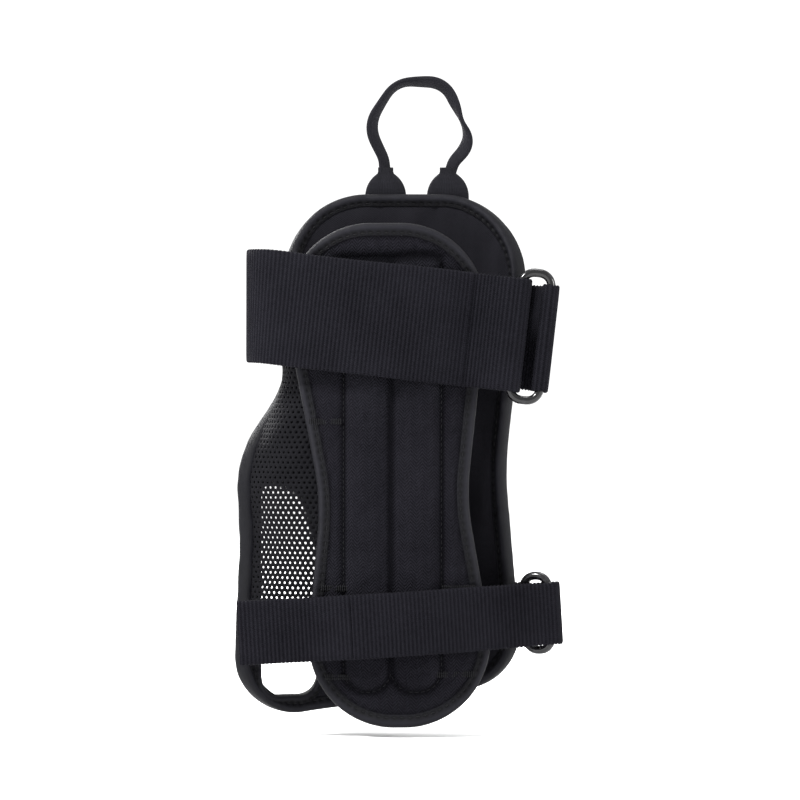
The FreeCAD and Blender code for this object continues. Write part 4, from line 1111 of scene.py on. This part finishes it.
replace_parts(tail, "lower_strap_tail")
lowerHook = hookTape("lowerHook", whole[split:], hookPatch["lower"], lowerTurn, lowerStrap["pivot"], 10)
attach(lowerHook, "lower_tail_body")
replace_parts(lowerHook, "lower_hook_patch")
print("lower strap ready")

# wire rings and the tabs that hold them
wireRings = {"wire": 3.4, "corner": 5,
             "upper": {"centre": (54.4, -20.4, 67.535), "size": (15.2, 54), "tilt": 6.5, "lean": 0},
             "lower": {"centre": (57.555, -6.408, -42.287), "size": (14.6, 33), "tilt": -3.4, "lean": 28}}


def wireRing(name, settings, body):
    halfWidth, halfLength = ((side - wireRings["wire"]) / 2 for side in settings["size"])
    path = roundLine([(x * halfWidth, y * halfLength, wireRings["corner"])
                      for x, y in ((-1, -1), (1, -1), (1, 1), (-1, 1))], True, 1.0)
    ahead = unit(np.roll(path, -1, axis=0) - np.roll(path, 1, axis=0))
    out = np.stack([ahead[:, 1], -ahead[:, 0]], axis=1)
    turns = np.linspace(0, 2 * math.pi, 16, endpoint=False)
    radius = wireRings["wire"] / 2
    local = np.stack([path[:, None, 0] + out[:, None, 0] * radius * np.cos(turns),
                      np.broadcast_to(radius * np.sin(turns), (len(path), 16)),
                      path[:, None, 1] + out[:, None, 1] * radius * np.cos(turns)], axis=-1)
    lean, tilt = math.radians(-settings["lean"]), math.radians(settings["tilt"])
    aboutZ = np.array([[math.cos(lean), -math.sin(lean), 0], [math.sin(lean), math.cos(lean), 0], [0, 0, 1]])
    aboutY = np.array([[math.cos(tilt), 0, math.sin(tilt)], [0, 1, 0], [-math.sin(tilt), 0, math.cos(tilt)]])
    points = local @ (aboutY @ aboutZ).T + np.array(settings["centre"])
    faces, flat = sweep(points, np.arange(len(path)) * 1.0, turns * radius, True)
    made = makePiece(name, points, faces, flat, "wire")
    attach(made, body)
    return made


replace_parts(wireRing("upperRing", wireRings["upper"], "upper_ring_body"), "upper_ring")
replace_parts(wireRing("lowerRing", wireRings["lower"], "lower_ring_body"), "lower_ring")

ringTabs = {"skin": 1.3, "upper": {"width": 42, "bar": (60.262, -20.4), "pivot": (54.4, 67.535), "tilt": 6.5},
            "lower": {"width": 23, "bar": (52.611, -3.779), "pivot": (52.611, -42.287), "tilt": -3.4}}


def ringTab(name, settings, start, seed):
    # sewn to the palm panel, up to the bar, round it and a little way back
    bar = np.array(settings["bar"])
    radius = wireRings["wire"] / 2 + 0.3 + ringTabs["skin"] / 2
    turn = [bar + radius * np.array([math.cos(t), -math.sin(t)]) for t in np.linspace(0, math.pi, 19)]
    end = [(bar[0] - radius, bar[1] + 0.1), (bar[0] - radius + 0.2, bar[1] + 2.4, 3),
           (bar[0] + 0.4, bar[1] + 7.0, 4), (bar[0] + 0.75, bar[1] + 9.5)]
    line = np.vstack([roundLine(start + [(bar[0] + radius, bar[1])], False, 0.3), np.array(turn)[1:],
                      roundLine(end, False, 0.3)[1:]])
    made = tape(name, evenly(line, strapShape["step"]), 0, settings["width"], ringTabs["skin"],
                math.radians(settings["tilt"]), settings["pivot"], "elastic", wobble=0.06, seed=seed, count=16)
    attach(made, "guard")
    return made


def sewnStart(places):
    spots = [palmFace.put(palmFace.run(x), 0, 1.75) for x in places]
    return [tuple(spot[:2]) + ((6,) if i else ()) for i, spot in enumerate(spots)]


upperStart = sewnStart((37, 41, 45)) + [(50.9, 9.1, 8), (57.4, 4.2, 8), (62.9, -8.6, 8)]
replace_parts(ringTab("upperRingTab", ringTabs["upper"], upperStart, 31), "upper_ring_tab")
lowerStart = sewnStart((41, 44.5)) + [(49.5, 10.2, 5), (54.7, 6.2, 3)]
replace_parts(ringTab("lowerRingTab", ringTabs["lower"], lowerStart, 33), "lower_ring_tab")
print("rings and tabs ready")

# blank label sewn on the tail
labelPatch = {"centre": (27, 79), "size": 34.5, "rim": 2.0, "lift": 0.35, "grid": 44}


def labelPiece():
    half = labelPatch["size"] / 2
    line = palmTail
    away = unit(np.gradient(line, axis=0))
    away = np.stack([-away[:, 1], away[:, 0]], axis=1)
    travelled = lengths(line)
    centre = np.interp(labelPatch["centre"][0], line[:, 0], travelled)

    def put(a, b, h):
        spot = centre + a
        x, y = (np.interp(spot, travelled, line[:, i]) for i in range(2))
        nx, ny = (np.interp(spot, travelled, away[:, i]) for i in range(2))
        h = h + strapShape["skin"] / 2 + 0.2
        return np.stack([x + nx * h, y + ny * h, labelPatch["centre"][1] + b], axis=-1)

    spots = np.linspace(-half, half, labelPatch["grid"])
    a, b = np.meshgrid(spots, spots, indexing="ij")
    a, b = a + 0.25 * np.sin(b / 6), b + 0.25 * np.sin(a / 5 + 1)
    edge = half - np.maximum(np.abs(a), np.abs(b)) * 0.985
    rim = groove(edge - labelPatch["rim"] * 0.55, 0.9)
    valley = groove(edge - labelPatch["rim"], 0.35)
    lift = labelPatch["lift"] * puff(edge + 0.35, 0.8) + 0.16 * rim - 0.14 * valley + 0.1 * puff(edge - 2.4, 5)
    top = put(a, b, lift)
    low = put(a, b, np.full(a.shape, -0.05))
    n = labelPatch["grid"]
    number = np.arange(n * n).reshape(n, n)
    quads = np.stack([number[:-1, :-1], number[1:, :-1], number[1:, 1:], number[:-1, 1:]], -1)
    quads = quads.reshape(-1, 4).tolist()
    ring = np.concatenate([number[:, 0], number[-1, 1:], number[-2::-1, -1], number[0, -2:0:-1]]).tolist()
    walls = [(ring[k], ring[(k + 1) % len(ring)], ring[(k + 1) % len(ring)] + n * n, ring[k] + n * n)
             for k in range(len(ring))]
    faces = quads + [[v + n * n for v in quad[::-1]] for quad in quads] + walls
    spot = np.tile(np.stack([a.ravel(), b.ravel()], axis=1), (2, 1))
    flat = spot[np.concatenate([np.ravel(face) for face in faces])]
    # painted shade in the valley inside the rim, on the top face only
    paintedShade = np.concatenate([valley.ravel(), 0 * valley.ravel()]) * 0.6
    made = makePiece("labelPatch", np.concatenate([top.reshape(-1, 3), low.reshape(-1, 3)]), faces, flat, "label",
                     {"paintedShade": paintedShade})
    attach(made, "upper_tail_body")
    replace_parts(made, "label_patch")
    inner = half - labelPatch["rim"]
    corners = roundLine([(x * inner, y * inner, 1) for x, y in ((-1, -1), (1, -1), (1, 1), (-1, 1))], True, 0.8)
    rows = [(put(corners[:, 0], corners[:, 1], labelPatch["lift"] + 0.02), (0, 1, 0), True)]
    stitches("labelPatch.thread", rows, "upper_tail_body", 2.2, 1.5, 0.34, 0, "whiteThread")


labelPiece()
print("label ready")

# hanging loop of twisted webbing, and the two feet that it is sewn into; turns holds shares of the
# loop's length and the webbing's twist there in degrees
hangLoop = {"width": 5.8, "skin": 1.7, "depth": 18.95,
            "path": [(-3, 130.5), (-3.4, 140), (-10, 153.5, 12), (1, 171.0, 11), (21, 171.0, 10), (31.6, 146.5, 9),
                     (24.2, 139.0, 5), (22.0, 130.5)],
            "turns": [(0, 20), (0.1, 38), (0.3, 58), (0.45, 64), (0.56, 50), (0.66, 38), (0.74, 96), (0.84, 40),
                      (1, 16)],
            "feet": (-3, 22), "footLow": 116.8, "footHigh": 136.6, "footWidth": 16.6}


def hangerLoop():
    path = roundLine(hangLoop["path"], False, 0.9)
    for _ in range(6):
        path[1:-1] = (path[:-2] + 2 * path[1:-1] + path[2:]) / 4
    share = np.linspace(0, 1, len(path))
    ahead = unit(np.gradient(path, axis=0))
    out = np.stack([ahead[:, 1], 0 * share, -ahead[:, 0]], axis=1)
    spot = np.stack([path[:, 0], hangLoop["depth"] + 0.5 * np.sin(share * 9), path[:, 1]], axis=1)
    turn = np.radians(np.interp(share, *zip(*hangLoop["turns"])))
    for _ in range(4):
        turn[1:-1] = (turn[:-2] + 2 * turn[1:-1] + turn[2:]) / 4
    turn = turn[:, None]
    flatWay = out * np.cos(turn) + np.array([0, 1, 0]) * np.sin(turn)
    thickWay = -out * np.sin(turn) + np.array([0, 1, 0]) * np.cos(turn)
    ring = stadium(hangLoop["width"], hangLoop["skin"], 9)
    fold = 0.35 * (ring[:, 0] / 2.7) ** 2
    points = (spot[:, None] + flatWay[:, None] * ring[None, :, :1] * (1 - 0.12 * np.sin(share * 21))[:, None, None]
              + thickWay[:, None] * (ring[:, 1] + fold)[None, :, None])
    v = lengths(ring)
    faces, flat = sweep(points, share * 110, v, False)
    made = makePiece("hangerLoop", points, faces, flat, "webbing")
    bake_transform(made)
    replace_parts(made, "hanger_loop")


def hangerFoot(name, centre, node):
    # a gathered tab: wide and flat where it is sewn, drawn in to a knot at the top
    rows, ring = 26, 28
    turns = np.linspace(0, 2 * math.pi, ring, endpoint=False)
    share = np.linspace(0, 1, rows)
    high = hangLoop["footLow"] + (hangLoop["footHigh"] - hangLoop["footLow"]) * share
    half = hangLoop["footWidth"] / 2
    dome = np.sqrt(np.clip(1 - (np.clip(share - 0.4, 0, 1) / 0.5) ** 2, 0, 1))
    width = (3.1 ** 4 + (half * dome) ** 4) ** 0.25
    thick = 0.95 + 1.2 * np.sin(np.clip((share - 0.25) / 0.75, 0, 1) * math.pi) ** 0.8
    points = []
    for k in range(rows):
        across = np.sign(np.cos(turns)) * np.abs(np.cos(turns)) ** 0.75 * width[k]
        deep = np.sign(np.sin(turns)) * np.abs(np.sin(turns)) ** 0.7 * thick[k]
        gather = 0.22 * np.sin(across * 2.3 + centre) * share[k]
        s = palmFace.run(centre) + across
        points.append(palmFace.put(s, high[k], 2.0 + deep + gather * np.sign(deep)))
    points = np.array(points)
    v = np.linspace(0, 40, ring)
    faces, flat = sweep(points, high, v, False)
    # painted shade darkening the gathered top of the foot
    made = makePiece(name, points, faces, flat, "webbing",
                     {"paintedShade": np.repeat(np.clip((share - 0.75) * 3, 0, 0.7), ring)})
    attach(made, "guard")
    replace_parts(made, node)
    base, inset = palmFace.run(centre), half - 1.6
    seam = roundLine([(base - inset, 118.2), (base + inset, 118.2), (base + inset, 123.8), (base - inset, 123.8)],
                     True, 0.8)
    return palmFace.put(seam[:, 0], seam[:, 1], 3.05), palmFace.normal(seam[:, 0]), True


hangerLoop()
footLines = [hangerFoot("hangerFootThumb", hangLoop["feet"][0], "hanger_foot_thumb"),
             hangerFoot("hangerFootUlnar", hangLoop["feet"][1], "hanger_foot_ulnar")]
stitches("hangerFeet.thread", footLines, "guard", 2.0, 1.5, 0.34)
print("hanging loop ready")

# floor, light and camera
studio = {"floor": 6.0, "drop": 0.004, "world": 1.17, "distance": 1.6, "lens": 180, "centre": (0.0028, 0, 0.0425),
          "lights": [("key", (-1.4, -0.8, 1.5), 0.5, 100), ("fill", (1.6, -0.6, 0.5), 0.7, 26),
                     ("top", (0.1, 0.3, 1.7), 1.0, 18), ("rear", (-0.9, 1.3, 0.9), 0.9, 36)]}
low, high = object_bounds()
half = studio["floor"] / 2
floorMesh = bpy.data.meshes.new("floor")
floorHigh = low[2] - studio["drop"]
floorMesh.from_pydata([(x * half, y * half, floorHigh) for x, y in ((-1, -1), (1, -1), (1, 1), (-1, 1))], [],
                      [(0, 1, 2, 3)])
floor = placed("floor", floorMesh)
floorFinish = Finish("paleFloor", {"Specular IOR Level": 0.1})
speck = floorFinish.cloud(3, 2)
floorFinish.colour((0.86, 0.86, 0.865), (0.9, 0.9, 0.9), speck)
floorFinish.rough(0.85 + speck * 0.1)
floorMesh.materials.append(floorFinish.material)
world = bpy.data.worlds.new("softStudio")
bpy.context.scene.world = world
world.use_nodes = True
sky = world.node_tree.nodes["Background"]
sky.inputs["Color"].default_value = (1, 1, 1, 1)
sky.inputs["Strength"].default_value = studio["world"]
for name, place, size, power in studio["lights"]:
    lamp = bpy.data.lights.new(name, "AREA")
    lamp.shape, lamp.size, lamp.energy = "DISK", size, power
    holder = placed(name, lamp)
    holder.location = place
    holder.rotation_euler = (Vector(studio["centre"]) - Vector(place)).to_track_quat("-Z", "Y").to_euler()
lens = bpy.data.cameras.new("camera")
lens.lens, lens.sensor_width, lens.clip_start, lens.clip_end = studio["lens"], 36, 0.05, 30
eye = placed("camera", lens)
eye.location = Vector(studio["centre"]) + Vector((0, -studio["distance"], 0))
eye.rotation_euler = (math.pi / 2, 0, 0)
bpy.context.scene.camera = eye
bpy.context.scene.view_settings.view_transform = "Standard"
bpy.context.scene.view_settings.look = "None"
print("scene ready")
